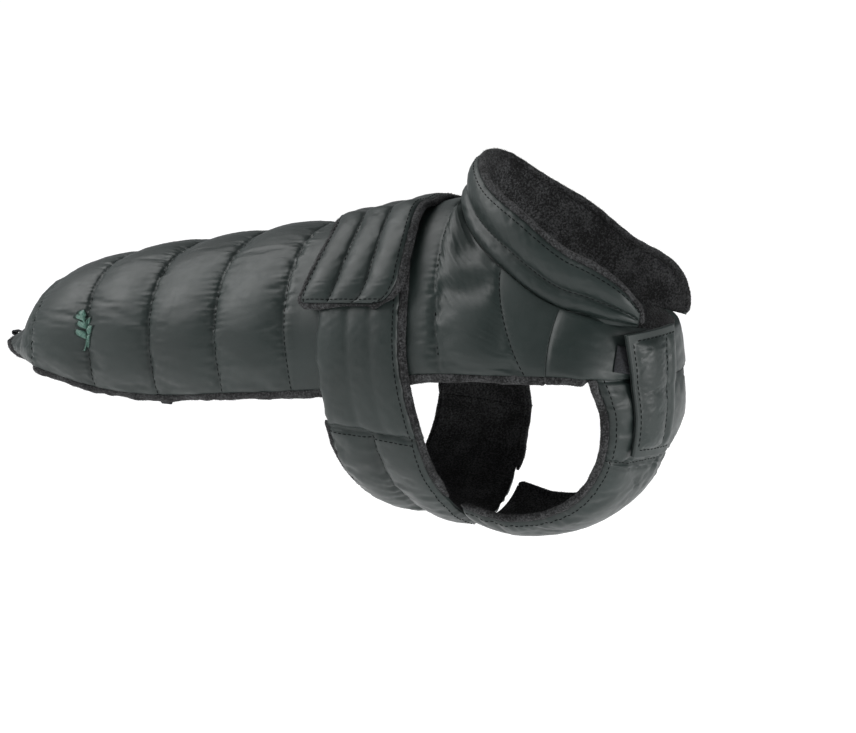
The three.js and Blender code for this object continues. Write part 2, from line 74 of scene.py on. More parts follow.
def read(table, column, place):
    """Smooth value of one column of a table where its first column is at place."""
    keys = np.array(next(iter(table.values())), float)
    values = np.array(table[column], float)
    slopes = np.gradient(values, keys)
    slopes[1:-1] = (values[2:] - values[:-2]) / (keys[2:] - keys[:-2])
    place = np.asarray(place, float)
    i = np.clip(np.searchsorted(keys, place) - 1, 0, len(keys) - 2)
    width = keys[i + 1] - keys[i]
    t = clamp((place - keys[i]) / width)
    rise = 3 * t**2 - 2 * t**3
    bend = (t**3 - 2 * t**2 + t) * slopes[i] + (t**3 - t**2) * slopes[i + 1]
    past = np.minimum(place - keys[0], 0) * slopes[0] + np.maximum(place - keys[-1], 0) * slopes[-1]
    return values[i] * (1 - rise) + values[i + 1] * rise + width * bend + past


def clamp(value):
    return np.clip(value, 0, 1)


def crossed(rows, columns):
    return np.meshgrid(rows, columns, indexing="ij")


def unit(vectors):
    """The vectors scaled to length 1."""
    return vectors / np.maximum(np.linalg.norm(vectors, axis=-1, keepdims=True), 1e-9)


def mix(a, b, t):
    return a + (b - a) * t


def step(value, low, high):
    t = clamp((value - low) / (high - low))
    return t * t * (3 - 2 * t)


def barrel(x, angle):
    """Points of the worn form at x, angle degrees round from the spine, + to the left."""
    x, angle = np.broadcast_arrays(np.asarray(x, float), np.asarray(angle, float))
    a = np.radians(np.abs(angle))
    upper = a < np.pi / 2
    power = np.where(upper, 2 / read(FORM, "square", x), 1.0)
    reach = np.where(upper, read(FORM, "spine", x), read(FORM, "low", x))
    y = read(FORM, "half", x) * np.abs(np.sin(a)) ** power * np.sign(angle) * np.sign(np.sin(a))
    z = mix(read(FORM, "wide", x), reach, np.abs(np.cos(a)) ** power)
    return np.stack([x, y, z], -1)


def edge_angle(x):
    wide = read(FORM, "wide", x)
    share = (wide - read(FORM, "edge", x)) / (wide - read(FORM, "low", x))
    return 180 - np.degrees(np.arccos(share))


def back_at(place, v):
    side = np.abs(v)
    x = mix(RUMP + place * PITCH_TOP, LEAN + (place - CHANNELS) * PITCH_HEM, side**1.4)
    low = edge_angle(LEAN + (place - CHANNELS) * PITCH_HEM)
    return barrel(x, side * low * np.sign(v))


def tail_at(t, v):
    side = np.abs(v)
    start = back_at(np.zeros_like(t), v)
    ends = [
        RUMP - TAIL * (1 - TAIL_SIDE * side**1.3),
        TAIL_HALF * np.sin(np.pi / 2 * side) * np.sign(v),
        TAIL_Z - 6 * side**2,
    ]
    end = np.stack(ends, -1)
    point = mix(start, end, t[..., None])
    fall = mix(t, step(t, 0, TAIL_TURN), TAIL_TURN)
    point[..., 2] = mix(start[..., 2], end[..., 2], mix(fall, t, side**2))
    return point


def neck_seam(angle):
    x = NECK_LONG * (1 - np.cos(np.radians(angle)))
    y = NECK_WIDE * np.sin(np.radians(angle))
    return x, y, np.degrees(np.arcsin(y / read(FORM, "half", x)))


SHOULDER_ANGLE = math.degrees(math.acos(1 - SHOULDER_X / NECK_LONG))


def wing_at(place, v, side):
    first = np.minimum(place, 1)
    second = np.maximum(place - 1, 0)
    x, _, turn = neck_seam(mix(first * H_ANGLE, SHOULDER_ANGLE, second))
    low = mix(mix(LEAN, H_LOW, first), SHOULDER_X, second)
    return barrel(mix(x, low, v**1.4), side * mix(turn, edge_angle(low), v))


def noise(a, b, seed):
    """Soft noise of about -1 to 1 over the plane of a and b, with features one unit across."""
    table = np.random.default_rng(seed).uniform(-1, 1, (64, 64))
    a, b = np.broadcast_arrays(a, b)
    i = np.floor(a).astype(int)
    j = np.floor(b).astype(int)
    s = (a - i) ** 2 * (3 - 2 * (a - i))
    t = (b - j) ** 2 * (3 - 2 * (b - j))
    low = mix(table[i % 64, j % 64], table[(i + 1) % 64, j % 64], s)
    high = mix(table[i % 64, (j + 1) % 64], table[(i + 1) % 64, (j + 1) % 64], s)
    return mix(low, high, t)


def facing(points):
    """Unit normals of a grid of points, away from the middle of the body."""
    normal = unit(np.cross(np.gradient(points, axis=0), np.gradient(points, axis=1)))
    core = np.zeros_like(points)
    core[..., 0] = np.minimum(points[..., 0], SHOULDER_X)
    core[..., 2] = YOKE_Z
    away = np.sum(normal * (points - core), -1)
    return normal if np.sum(np.sign(away)) > 0 else -normal


def finer(grid, axis, factor):
    """The grid with factor times the cells along axis, on a smooth curve through its values."""
    grid = np.moveaxis(np.asarray(grid, float), axis, 0)
    cells = len(grid) - 1
    first = 2 * grid[:1] - grid[1:2]
    last = 2 * grid[-1:] - grid[-2:-1]
    padded = np.concatenate([first, grid, last])
    at = np.linspace(0, cells, cells * factor + 1)
    i = np.minimum(at.astype(int), cells - 1)
    t = (at - i).reshape(-1, *[1] * (grid.ndim - 1))
    p0, p1, p2, p3 = (padded[i + k] for k in range(4))
    curve = p1 + 0.5 * t * (p2 - p0 + t * (2 * p0 - 5 * p1 + 4 * p2 - p3 + t * (3 * (p1 - p2) + p3 - p0)))
    return np.moveaxis(curve, 0, axis)


def eased(values, times, axis):
    """The values with each one averaged with its neighbours along axis, but for the first and last."""
    rows = np.moveaxis(values, axis, 0)
    for _ in range(times):
        rows[1:-1] = (rows[:-2] + 2 * rows[1:-1] + rows[2:]) / 4
    return values


def number(grids):
    """One list of points for several grids, with the points that they share counted once."""
    flat = np.concatenate([grid.reshape(-1, 3) for grid in grids])
    keys = np.round(flat * 20).astype(int)
    _, first, ids = np.unique(keys, axis=0, return_index=True, return_inverse=True)
    ids = ids.reshape(-1)
    parts = []
    start = 0
    for grid in grids:
        size = grid.shape[0] * grid.shape[1]
        parts.append(ids[start:start + size].reshape(grid.shape[:2]))
        start += size
    return flat[first], parts


def quads(ids):
    """Four corners of each cell of a grid of numbered points."""
    corners = [ids[:-1, :-1], ids[1:, :-1], ids[1:, 1:], ids[:-1, 1:]]
    return np.stack([corner.reshape(-1) for corner in corners], -1)


def mesh_object(name, points, faces, materials, slots=None):
    """An object of points in mm, with smooth faces."""
    mesh = bpy.data.meshes.new(name)
    mesh.from_pydata((np.asarray(points) * MM).tolist(), [], [list(map(int, face)) for face in faces])
    mesh.polygons.foreach_set("use_smooth", [True] * len(mesh.polygons))
    for material in materials:
        mesh.materials.append(material)
    if slots is not None:
        mesh.polygons.foreach_set("material_index", np.asarray(slots, "i"))
    mesh.update()
    made = bpy.data.objects.new(name, mesh)
    bpy.context.scene.collection.objects.link(made)
    return made


CLOTH = {
    "quality": 5,
    "mass": 0.15,
    "tension_stiffness": 12,
    "compression_stiffness": 12,
    "shear_stiffness": 4,
    "bending_stiffness": 0.05,
    "tension_damping": 8,
    "compression_damping": 8,
    "shear_damping": 4,
    "vertex_group_mass": "sewn",
    "use_pressure": True,
    "uniform_pressure_force": 4.0,
}
CLOTH_FRAMES = 18


def swell(points, faces, sewn, slack, most):
    """Points of a shell blown out by its wadding between its sewn points, by cloth simulation."""
    made = mesh_object("swelling", points, faces, [])
    group = made.vertex_groups.new(name="sewn")
    group.add([int(i) for i in np.nonzero(sewn)[0]], 1.0, "REPLACE")
    cloth = made.modifiers.new("cloth", "CLOTH")
    for key, value in CLOTH.items():
        setattr(cloth.settings, key, value)
    cloth.settings.shrink_min = -slack
    cloth.settings.effector_weights.gravity = 0
    cloth.collision_settings.use_collision = False
    cloth.point_cache.frame_start = 1
    cloth.point_cache.frame_end = CLOTH_FRAMES
    scene = bpy.context.scene
    for moment in range(1, CLOTH_FRAMES + 1):
        scene.frame_set(moment)
    settled = made.evaluated_get(bpy.context.evaluated_depsgraph_get()).to_mesh()
    after = np.empty(len(points) * 3)
    settled.vertices.foreach_get("co", after)
    after = after.reshape(-1, 3) / MM
    scene.frame_set(1)
    bpy.data.objects.remove(made)
    moved = after - points
    far = np.linalg.norm(moved, axis=-1, keepdims=True)
    return points + moved * np.minimum(1, most / np.maximum(far, 1e-9))


SHORT_FOLDS = 0.9
LONG_FOLDS = 0.32
SEAM_GROOVE = 0.8
LOWEST_FOLD = -1.3  # the shell doesn't sink further, so it stays clear of its lining


def gathers(across, along, reach, wave, seed):
    """Height of the puckers that run off a seam: across is the distance from it, along its length. Each
    pucker is short, and about one in four runs on as a long shallow fold."""
    across = np.maximum(across, 0)
    bent = along + 1.2 * noise(along / 22, across / 12, seed)
    fine = noise(bent / wave, across / 30 + seed, seed + 1)
    broad = noise(bent / (3.1 * wave), across / 60 + seed, seed + 2)
    reached = reach * (1 + 0.4 * noise(along / 9, along * 0 + seed, seed + 3))
    short = fine * np.exp(-((across / (0.55 * reached)) ** 1.4))
    long = broad * np.exp(-((across / (1.9 * reached)) ** 1.6))
    groove = np.exp(-((across / 1.3) ** 2))
    return SHORT_FOLDS * short + LONG_FOLDS * long - SEAM_GROOVE * groove


def panel(point, rise, sewn, gathers, inner=0.0, loose=1.0, fine=3):
    """The grid of a panel: its points on the worn form, its first rise, what is sewn, the distances from and
    along its seams, the height of its lining, how freely it folds, and into how many each cell is cut."""
    flat = np.zeros(point.shape[:2])
    return {
        "point": point,
        "rise": rise,
        "sewn": sewn,
        "gathers": gathers,
        "inner": flat + inner,
        "loose": flat + loose,
        "fine": fine,
    }


def wound(ids, points, outward):
    """The cells of a grid of numbered points as faces that face outward."""
    made = quads(ids)
    turn = np.cross(points[made[:, 1]] - points[made[:, 0]], points[made[:, 2]] - points[made[:, 0]])
    return made[:, ::-1] if np.sum(turn * outward[made[:, 0]]) < 0 else made


def quilted(name, cad_node, sheets, slack=0.012, most=5.0, rough=0.8):
    """A padded panel of shell and lining, in place of its solid. Each sheet is a grid made by panel()."""
    points, ids = number([sheet["point"] for sheet in sheets])
    total = np.zeros((len(points), 3))
    outward = np.zeros((len(points), 3))
    times = np.zeros(len(points))
    sewn = np.zeros(len(points), bool)
    for sheet, cells in zip(sheets, ids):
        normal = facing(sheet["point"])
        height = sheet["inner"] + SEAM + sheet["rise"]
        start = sheet["point"] + normal * height[..., None]
        np.add.at(total, cells.reshape(-1), start.reshape(-1, 3))
        np.add.at(outward, cells.reshape(-1), normal.reshape(-1, 3))
        np.add.at(times, cells.reshape(-1), 1)
        sewn[cells[sheet["sewn"]]] = True
    outer = total / times[:, None]
    outward = unit(outward)
    faces = np.concatenate([wound(cells, points, outward) for cells in ids])
    shake = np.random.default_rng(7).uniform(-0.12, 0.12, (len(outer), 1)) * ~sewn[:, None]
    outer = swell(outer + outward * shake, faces, sewn, slack, most)
    for sheet, cells in zip(sheets, ids):
        cut = sheet["fine"]
        fold = finer(outer[cells], 1, cut)
        normal = facing(fold)
        height = np.zeros(fold.shape[:2])
        for across, along, reach, wave, seed in sheet["gathers"]:
            height += gathers(finer(across, 1, cut), finer(along, 1, cut), reach, wave, seed)
        height = np.maximum(rough * height * finer(sheet["loose"], 1, cut), LOWEST_FOLD)
        sheet["top"] = fold + normal * height[..., None]
        sheet["top_normal"] = normal
        sheet["under"] = finer(points[cells] + outward[cells] * sheet["inner"][..., None], 1, cut)
    tops = [sheet["top"] for sheet in sheets]
    unders = [sheet["under"] for sheet in sheets]
    made = closed(name, tops, unders, [nylon, fleece])
    place_on_frame(made, [cad_node])
    return made


def closed(name, tops, unders, materials):
    """One closed mesh from outer and inner grids, with a rim round their open edges."""
    _, ids = number(unders)
    count = max(int(cells.max()) for cells in ids) + 1
    top = np.zeros((count, 3))
    under = np.zeros((count, 3))
    for cells, grid, low in zip(ids, tops, unders):
        top[cells.reshape(-1)] = grid.reshape(-1, 3)
        under[cells.reshape(-1)] = low.reshape(-1, 3)
    faces = np.concatenate([wound(cells, top, top - under) for cells in ids])
    sides = np.concatenate([faces[:, [k, (k + 1) % 4]] for k in range(4)])
    keys = sides[:, 0] * count + sides[:, 1]
    back = sides[:, 1] * count + sides[:, 0]
    open_sides = sides[~np.isin(keys, back)]
    open_sides = open_sides[open_sides[:, 0] != open_sides[:, 1]]
    near, far = open_sides[:, 0], open_sides[:, 1]
    rim = np.stack([far, near, near + count, far + count], -1)
    corners = np.concatenate([faces, faces[:, ::-1] + count, rim])
    every = [list(dict.fromkeys(face)) for face in corners.tolist()]
    slots = [0] * len(faces) + [1] * len(faces) + [0] * len(rim)
    kept = [k for k, face in enumerate(every) if len(face) > 2]
    return mesh_object(
        name,
        np.concatenate([top, under]),
        [every[k] for k in kept],
        materials,
        [slots[k] for k in kept],
    )


def linear(hex_text):
    """Linear colour of an sRGB hex value."""
    parts = [int(hex_text[k:k + 2], 16) / 255 for k in (1, 3, 5)]
    return [part / 12.92 if part <= 0.04045 else ((part + 0.055) / 1.055) ** 2.4 for part in parts] + [1.0]


def node(tree, kind, values=(), links=(), **settings):
    """Adds one node, sets its properties and socket values, and links its sockets."""
    made = tree.nodes.new(kind)
    for key, value in settings.items():
        setattr(made, key, value)
    for key, value in dict(values).items():
        made.inputs[key].default_value = value
    for key, source in dict(links).items():
        tree.links.new(source, made.inputs[key])
    return made


def empty_material(name):
    """A new material, its node tree, and the object coordinates that its textures use."""
    made = bpy.data.materials.new(name)
    made.use_nodes = True
    made.node_tree.nodes.clear()
    return made, made.node_tree, node(made.node_tree, "ShaderNodeTexCoord").outputs["Object"]


def grain(tree, where, size, detail, **more):
    """Noise with features of about size, in metres."""
    values = {"Scale": 1 / size, "Detail": detail, **more}
    return node(tree, "ShaderNodeTexNoise", values, {"Vector": where}).outputs["Fac"]


def relief(tree, height, strength, distance, **links):
    """A small relief of the surface that follows height."""
    values = {"Strength": strength, "Distance": distance}
    return node(tree, "ShaderNodeBump", values, {"Height": height, **links}).outputs["Normal"]


def ramp(tree, source, dark, pale):
    """A change from one colour to another, each given as its place in source and its sRGB hex value."""
    made = node(tree, "ShaderNodeValToRGB", links={"Fac": source})
    for element, (place, colour) in zip(made.color_ramp.elements, (dark, pale)):
        element.position = place
        element.color = linear(colour)
    return made.outputs["Color"]


def remap(tree, source, low, high, to_low, to_high):
    """The values of source between low and high, spread between to_low and to_high."""
    values = {"From Min": low, "From Max": high, "To Min": to_low, "To Max": to_high}
    return node(tree, "ShaderNodeMapRange", values, {"Value": source}).outputs["Result"]


def surface(tree, values, links):
    """The shader of a material and its output."""
    shader = node(tree, "ShaderNodeBsdfPrincipled", values, links)
    node(tree, "ShaderNodeOutputMaterial", links={"Surface": shader.outputs["BSDF"]})


# Calendered nylon taffeta: a tight plain weave pressed smooth, so it shines softly, as satin does, and
# shows every small crease. The real threads are about 0.1 mm apart; they are drawn at 0.5 mm.
nylon, tree, where = empty_material("calendered_nylon_taffeta")
tone = ramp(tree, grain(tree, where, 0.035, 3.0), (0.3, "#18211f"), (0.7, "#1f2927"))
weave = grain(tree, where, 0.0005, 1.0)
crease = grain(tree, where, 0.006, 4.0, Roughness=0.6, Distortion=0.6)
creases = relief(tree, crease, 0.16, 0.0005)
threads = relief(tree, weave, 0.12, 0.0001, Normal=creases)
gloss = remap(tree, crease, 0.3, 0.7, 0.39, 0.5)
surface(
    tree,
    {"IOR": 1.45, "Specular IOR Level": 0.5, "Sheen Weight": 0.03, "Sheen Roughness": 0.4},
    {"Base Color": tone, "Roughness": gloss, "Normal": threads},
)

# Brushed polyester fleece, heather: dark and pale fibres mixed and raised into a nap, so it is matt and
# grainy, with a pale bloom where it turns away. The tufts are about 1 mm across.
fleece, tree, where = empty_material("brushed_heather_fleece")
tufts = grain(tree, where, 0.0011, 3.0, Roughness=0.7)
patches = grain(tree, where, 0.012, 2.0)
both = node(tree, "ShaderNodeMath", {1: 0.35}, {0: patches, 2: tufts}, operation="MULTIPLY_ADD")
heather = ramp(tree, both.outputs["Value"], (0.6, "#09090a"), (0.98, "#565758"))
fuzz = {"Sheen Weight": 0.06, "Sheen Roughness": 0.5, "Sheen Tint": linear("#a6a6a6")}
surface(
    tree,
    {"Roughness": 0.95, "IOR": 1.45, **fuzz},
    {"Base Color": heather, "Normal": relief(tree, tufts, 0.7, 0.0008)},
)


def place_on_frame(made, cad_nodes):
    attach(made, "root")
    if cad_nodes:
        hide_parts(*cad_nodes)


TINY = 1e-6


def on_line(value, line):
    return np.abs(value - line) < TINY


def at_ends(value):
    return (value < TINY) | (value > 1 - TINY)


def channel_share(place, channels):
    """How far across its channel each place is, from 0 to 1."""
    return place - np.floor(np.minimum(place, channels - TINY))


def channel_rise(across, full):
    """Height of a padded channel, full in its middle, at a share of the way across it."""
    return full * np.sin(np.pi * clamp(across)) ** 0.6


def from_both_seams(within, width, along, reaches, wave, seeds):
    """What gathers() needs for the two seams of a channel."""
    shares = (within, 1 - within)
    return [(share * width, along, reach, wave, seed) for share, reach, seed in zip(shares, reaches, seeds)]


PER_CHANNEL = 14
ACROSS = 112
HALF_GIRTH = 145
TAIL_GIRTH = 100
WING_LONG = 120
WING_ROWS = 16
NEXT_CHANNEL = 300  # shifts the noise, so that the folds of two channels differ
BANDS_BEGIN = (-86, -72)  # where the bands begin to cover the back panel, and where they end
BANDS_END = (1, 11)


def seam_spaced(channels, cells):
    """Places of rows over a number of channels, closer together by the seams."""
    t = np.linspace(0, 1, cells + 1)
    within = t - 0.1 * np.sin(2 * np.pi * t)
    return np.append((np.arange(channels)[:, None] + within[:-1]).reshape(-1), channels)


rows = seam_spaced(CHANNELS, PER_CHANNEL)
place, v = crossed(rows, np.linspace(-1, 1, ACROSS + 1))
back_x = back_at(place, v)[..., 0]
covered = step(back_x, *BANDS_BEGIN) * (1 - step(back_x, *BANDS_END))
within = channel_share(place, CHANNELS)
sewn = on_line(place, np.round(place)) | (np.abs(v) > 1 - TINY) | (covered > 0.5)
pitch = mix(PITCH_TOP, PITCH_HEM, np.abs(v))
along = v * HALF_GIRTH + NEXT_CHANNEL * np.floor(place)
main_sheet = panel(
    point=back_at(place, v),
    rise=channel_rise(within, 3.2) * np.sqrt(clamp((1 - np.abs(v)) / 0.1)) * (1 - 0.8 * covered),
    sewn=sewn,
    loose=(0.6 + 0.4 * clamp(1.5 - 1.6 * np.abs(v))) * (1 - 0.8 * covered),
    gathers=from_both_seams(within, pitch, along, (8, 8), 2.0, (11, 23)),
)
t, v = crossed(np.linspace(1, 0, 21), np.linspace(-1, 1, ACROSS + 1))
tail_sheet = panel(
    point=tail_at(t, v),
    rise=channel_rise(t, 2.6) * np.sqrt(clamp((1 - np.abs(v)) / 0.12)),
    sewn=at_ends(t) | (np.abs(v) > 1 - TINY),
    loose=0.7,
    gathers=[(t * TAIL, v * HALF_GIRTH, 7, 2.2, 31), ((1 - t) * TAIL, v * TAIL_GIRTH, 4, 2.6, 37)],
)
wing_sheets = []
for side in (-1, 1):
    place, v = crossed(seam_spaced(2, WING_ROWS), np.linspace(0, 1, ACROSS // 2 + 1))
    if side < 0:
        v = v[:, ::-1]
    within = channel_share(place, 2)
    wing = wing_at(place, v, side)
    rear_width = np.linalg.norm(wing[WING_ROWS] - wing[0], axis=-1)
    front_width = np.linalg.norm(wing[2 * WING_ROWS] - wing[WING_ROWS], axis=-1)
    width = np.where(place < 1, rear_width, front_width)
    full = np.where(place < 1, 2.6, 0.7)
    roomy = np.clip(width / 25, 0.1, 1) ** 2 * np.where(place < 1, 0.35, 0.2)
    sheet = panel(
        point=wing,
        rise=channel_rise(within, full) * np.sqrt(clamp(v / 0.15) * clamp((1 - v) / 0.12)),
        sewn=on_line(place, np.round(place)) | (place > 1) | at_ends(v),
        loose=np.clip((v - 0.05) / 0.3, 0.1, 1) * roomy,
        gathers=from_both_seams(within, width, v * WING_LONG, (4, 3), 2.0, (41 + side, 47 + side)),
    )
    wing_sheets.append(sheet)
back_panel = quilted("quilted_back_panel", "back_panel", [tail_sheet, main_sheet, *wing_sheets])

# Yokes
# A narrow panel on each shoulder, from the shoulder seam round to the front middle, lightly padded.
FRONT_X = 116
YOKE_TURN = FRONT_X - SHOULDER_X
YOKE_WIDE = 34
YOKE_LONG = 66
ARMHOLE_TURN = 0.365


def yoke_at(t, v, side):
    _, _, turn = neck_seam(SHOULDER_ANGLE)
    start = barrel(np.full_like(t, SHOULDER_X), side * mix(turn, edge_angle(SHOULDER_X), v))
    a = np.pi / 2 * t
    low = mix(read(FORM, "edge", SHOULDER_X), YOKE_Z, step(t, 0, 0.35))
    z = mix(start[..., 2], mix(start[..., 2] - NECK_DROP, low, v), np.sin(a))
    return np.stack([SHOULDER_X + YOKE_TURN * np.sin(a), start[..., 1] * np.cos(a), z], -1)


TUCK_RAISE = 0.6  # a seam allowance lifts its lining by this much, and its shell sinks by the next
TUCK_SINK = 1.4


def tucked(distance):
    """1 on a panel and 0 on its seam allowance, from the distance past its seam in mm."""
    return clamp(distance / 0.6 + 1)


yoke_sheets = {}
for side, word in ((-1, "right"), (1, "left")):
    spots = np.concatenate([[-0.036, 0.0, 0.009], np.linspace(0.05, 0.996, 21)])
    t, v = crossed(spots, np.linspace(0, 1, 15))
    if side < 0:
        v = v[:, ::-1]
    closing = clamp(t / 0.2) * clamp((1 - t) / 0.2) * clamp(v / 0.25)
    under_back = 1 - tucked((t - 0.009) * 63)
    sheet = panel(
        point=yoke_at(t, v, side),
        inner=TUCK_RAISE * under_back,
        rise=0.9 * np.sqrt(closing * clamp((1 - v) / 0.25)) - TUCK_SINK * under_back,
        sewn=(t < 0.01) | (t > 0.99) | at_ends(v),
        loose=np.clip(v / 0.3, 0.3, 1) * clamp(t / 0.05),
        gathers=[
            ((1 - v) * YOKE_WIDE, t * YOKE_LONG, 8, 4.0, 53 + side),
            (t * YOKE_LONG, v * YOKE_WIDE, 5, 3.4, 57 + side),
        ],
    )
    yoke_sheets[word] = sheet
    yoke = quilted(f"{word}_shoulder_yoke", f"{word}_yoke", [sheet], slack=0.006, most=3, rough=0.6)

# Chest bib
# One padded panel down the chest and back between the front legs. A single quilt line crosses it, and
# the weight of the wadding drags long creases down from that line.
BIB = {
    "place": [k / 7 for k in range(8)],
    "x": [115, 114, 108, 97, 81, 62, 38, 12],
    "z": [-87, -108, -130, -148, -162, -171, -176, -175],
    "half": [50, 44, 40, 36, 33, 31, 31, 32],
    "round": [17, 12, 10, 9, 8, 8, 9, 12],
}
BIB_LINE = 0.3
BIB_ARC = 0.84


def bib_at(t, v):
    ahead_x = read(BIB, "x", t + 0.01) - read(BIB, "x", t - 0.01)
    ahead_z = read(BIB, "z", t + 0.01) - read(BIB, "z", t - 0.01)
    size = np.hypot(ahead_x, ahead_z)
    fall = (1 - np.sqrt(1 - (BIB_ARC * v) ** 2)) / (1 - math.sqrt(1 - BIB_ARC**2))
    fall = fall * read(BIB, "round", t)
    x = read(BIB, "x", t) + ahead_z / size * fall
    z = read(BIB, "z", t) - ahead_x / size * fall
    return np.stack([x, read(BIB, "half", t) * v, z], -1)


spots = np.concatenate([[-0.013, 0.0], np.linspace(0.006, 1, 72)])
v, t = crossed(np.linspace(-1, 1, 31), spots)
BIB_LONG = 165
BIB_WIDE = 42
NO_SEAM = 60  # so far from a seam that it hardly gathers
BIB_LINE_COLUMN = np.argmin(np.abs(spots - BIB_LINE)) / (len(spots) - 1)
line_at = spots[np.argmin(np.abs(spots - BIB_LINE))]
under_yoke = 1 - tucked((t - 0.006) * BIB_LONG)
below = t > BIB_LINE
across = np.where(below, (t - BIB_LINE) / (1 - BIB_LINE), t / BIB_LINE)
edge = clamp((1 - np.abs(v)) / 0.2)
bib_sheet = panel(
    point=bib_at(t, v),
    inner=TUCK_RAISE * under_yoke,
    rise=channel_rise(across, 2.2) * np.sqrt(edge) - TUCK_SINK * under_yoke,
    sewn=on_line(t, line_at) | (t < 0.007) | (t > 1 - TINY) | (np.abs(v) > 1 - TINY),
    fine=2,
    loose=clamp(t / 0.03),
    gathers=[
        (np.where(below, (t - BIB_LINE) * BIB_LONG, NO_SEAM), v * BIB_WIDE, 20, 2.6, 61),
        (np.where(below, NO_SEAM, (BIB_LINE - t) * BIB_LONG), v * BIB_WIDE, 12, 2.6, 63),
        (np.abs(t) * BIB_LONG, v * 48, 5, 3.4, 67),
        ((1 - np.abs(v)) * 34, t * BIB_LONG + 400 * (v > 0), 5, 3.2, 71),
    ],
)
chest_bib = quilted("quilted_chest_bib", "chest_bib", [bib_sheet], slack=0.02, rough=1.25)

# Bands and belly panel
# The right band hangs from the back and the left one crosses over it as a flap. Both are stitched
# to a padded panel under the belly, whose one quilt line runs round the body.
UNDER_BAND = 4.2
UNDER_FLAP = 9.2
BELLY_LIFT = 0.6
FLAP_CHANNELS = 3
BAND_SEAM = 115
SEAM_TURN = 0.2
BELLY_WIDE = 57
BELLY_DEGREE = 1.45  # mm to a degree round the body; the next two are those of the bands
BAND_DEGREE = 1.2
FLAP_DEGREE = 1.3
BAND_WIDE = 50
FLAP_PITCH = 19
LEFT_BAND = {
    "angle": [-69, -68.5, -67, -65, -62, -59, -45, -30, -15, 0, 60, 90, 115],
    "rear": [-64.5, -65.6, -66, -65.8, -65, -64, -61, -62, -70, -77, -60, -57, -54],
    "front": [-20, -16.1, -12.5, -10.1, -8.4, -8, -9, -12, -14, -16, -8, -5, 2],
}
RIGHT_BAND = {"angle": [-115, -90, -60, -30], "rear": [-54, -57, -57, -55], "front": [2, -5, -9, -19]}
BELLY = {
    "angle": [115, 150, 180, 210, 245],
    "rear": [-54, -52, -46, -52, -54],
    "front": [2, 8, 10, 8, 2],
}


def band_at(table, angle, v):
    x = mix(read(table, "rear", angle), read(table, "front", angle), v)
    return barrel(x, np.where(angle > 180, angle - 360, angle))


BELLY_ENDS = [BAND_SEAM + SEAM_TURN, 360 - BAND_SEAM - SEAM_TURN]
turns = np.linspace(*BELLY_ENDS, 61)
allowance = np.array([0.6, 1.9])
turns = np.concatenate([BELLY_ENDS[0] - allowance[::-1], turns, BELLY_ENDS[1] + allowance])
v, angle = crossed(np.linspace(0, 1, 21), turns)
under_bands = 1 - tucked((180 - BAND_SEAM - SEAM_TURN - np.abs(angle - 180)) * BELLY_DEGREE)
ends = np.sqrt(clamp((angle - BAND_SEAM) / 14) * clamp((360 - BAND_SEAM - angle) / 14))
within = channel_share(v * 2, 2)
girth = (angle - 180) * BELLY_DEGREE
belly_sheet = panel(
    point=band_at(BELLY, angle, v),
    inner=mix(BELLY_LIFT, UNDER_BAND, step(np.abs(angle - 180), 25, 60)) + TUCK_RAISE * under_bands,
    rise=channel_rise(within, 3.0) * ends - TUCK_SINK * under_bands,
    sewn=on_line(v, np.round(v * 2) / 2) | (np.abs(angle - 180) > 179.9 - BAND_SEAM - SEAM_TURN),
    loose=1 - under_bands,
    gathers=[
        (np.abs(v - 0.5) * BELLY_WIDE, girth + NEXT_CHANNEL * (v > 0.5), 9, 3.0, 81),
        ((180 - BAND_SEAM - np.abs(angle - 180)) * BELLY_DEGREE, v * BELLY_WIDE, 6, 4.0, 83),
        (v * BELLY_WIDE, girth, 3, 3.0, 85),
        ((1 - v) * BELLY_WIDE, girth, 3, 3.0, 87),
    ],
)
belly_panel = quilted("quilted_belly_panel", "belly_panel", [belly_sheet], rough=0.9)

v, angle = crossed(np.linspace(0, 1, 31), np.linspace(-BAND_SEAM + SEAM_TURN, -30, 49))
low_end = clamp((BAND_SEAM + angle) / 4)
folds = 0.7 * np.exp(-(((v - 0.4) / 0.045) ** 2)) + 0.5 * np.exp(-(((v - 0.68) / 0.05) ** 2))
right_sheet = panel(
    point=band_at(RIGHT_BAND, angle, v),
    inner=UNDER_BAND,
    rise=(2.2 - folds) * np.sqrt(low_end * clamp(v / 0.2) * clamp((1 - v) / 0.2)),
    sewn=at_ends(v) | (low_end < 0.02) | (angle > -52),
    gathers=[
        ((BAND_SEAM + angle) * BAND_DEGREE, v * BAND_WIDE, 7, 4.0, 91),
        (v * BAND_WIDE, angle * BAND_DEGREE, 2.5, 3.0, 93),
        ((1 - v) * BAND_WIDE, angle * BAND_DEGREE, 2.5, 3.0, 94),
    ],
)
right_band = quilted("right_side_band", "right_band", [right_sheet], slack=0.002, most=2.5)

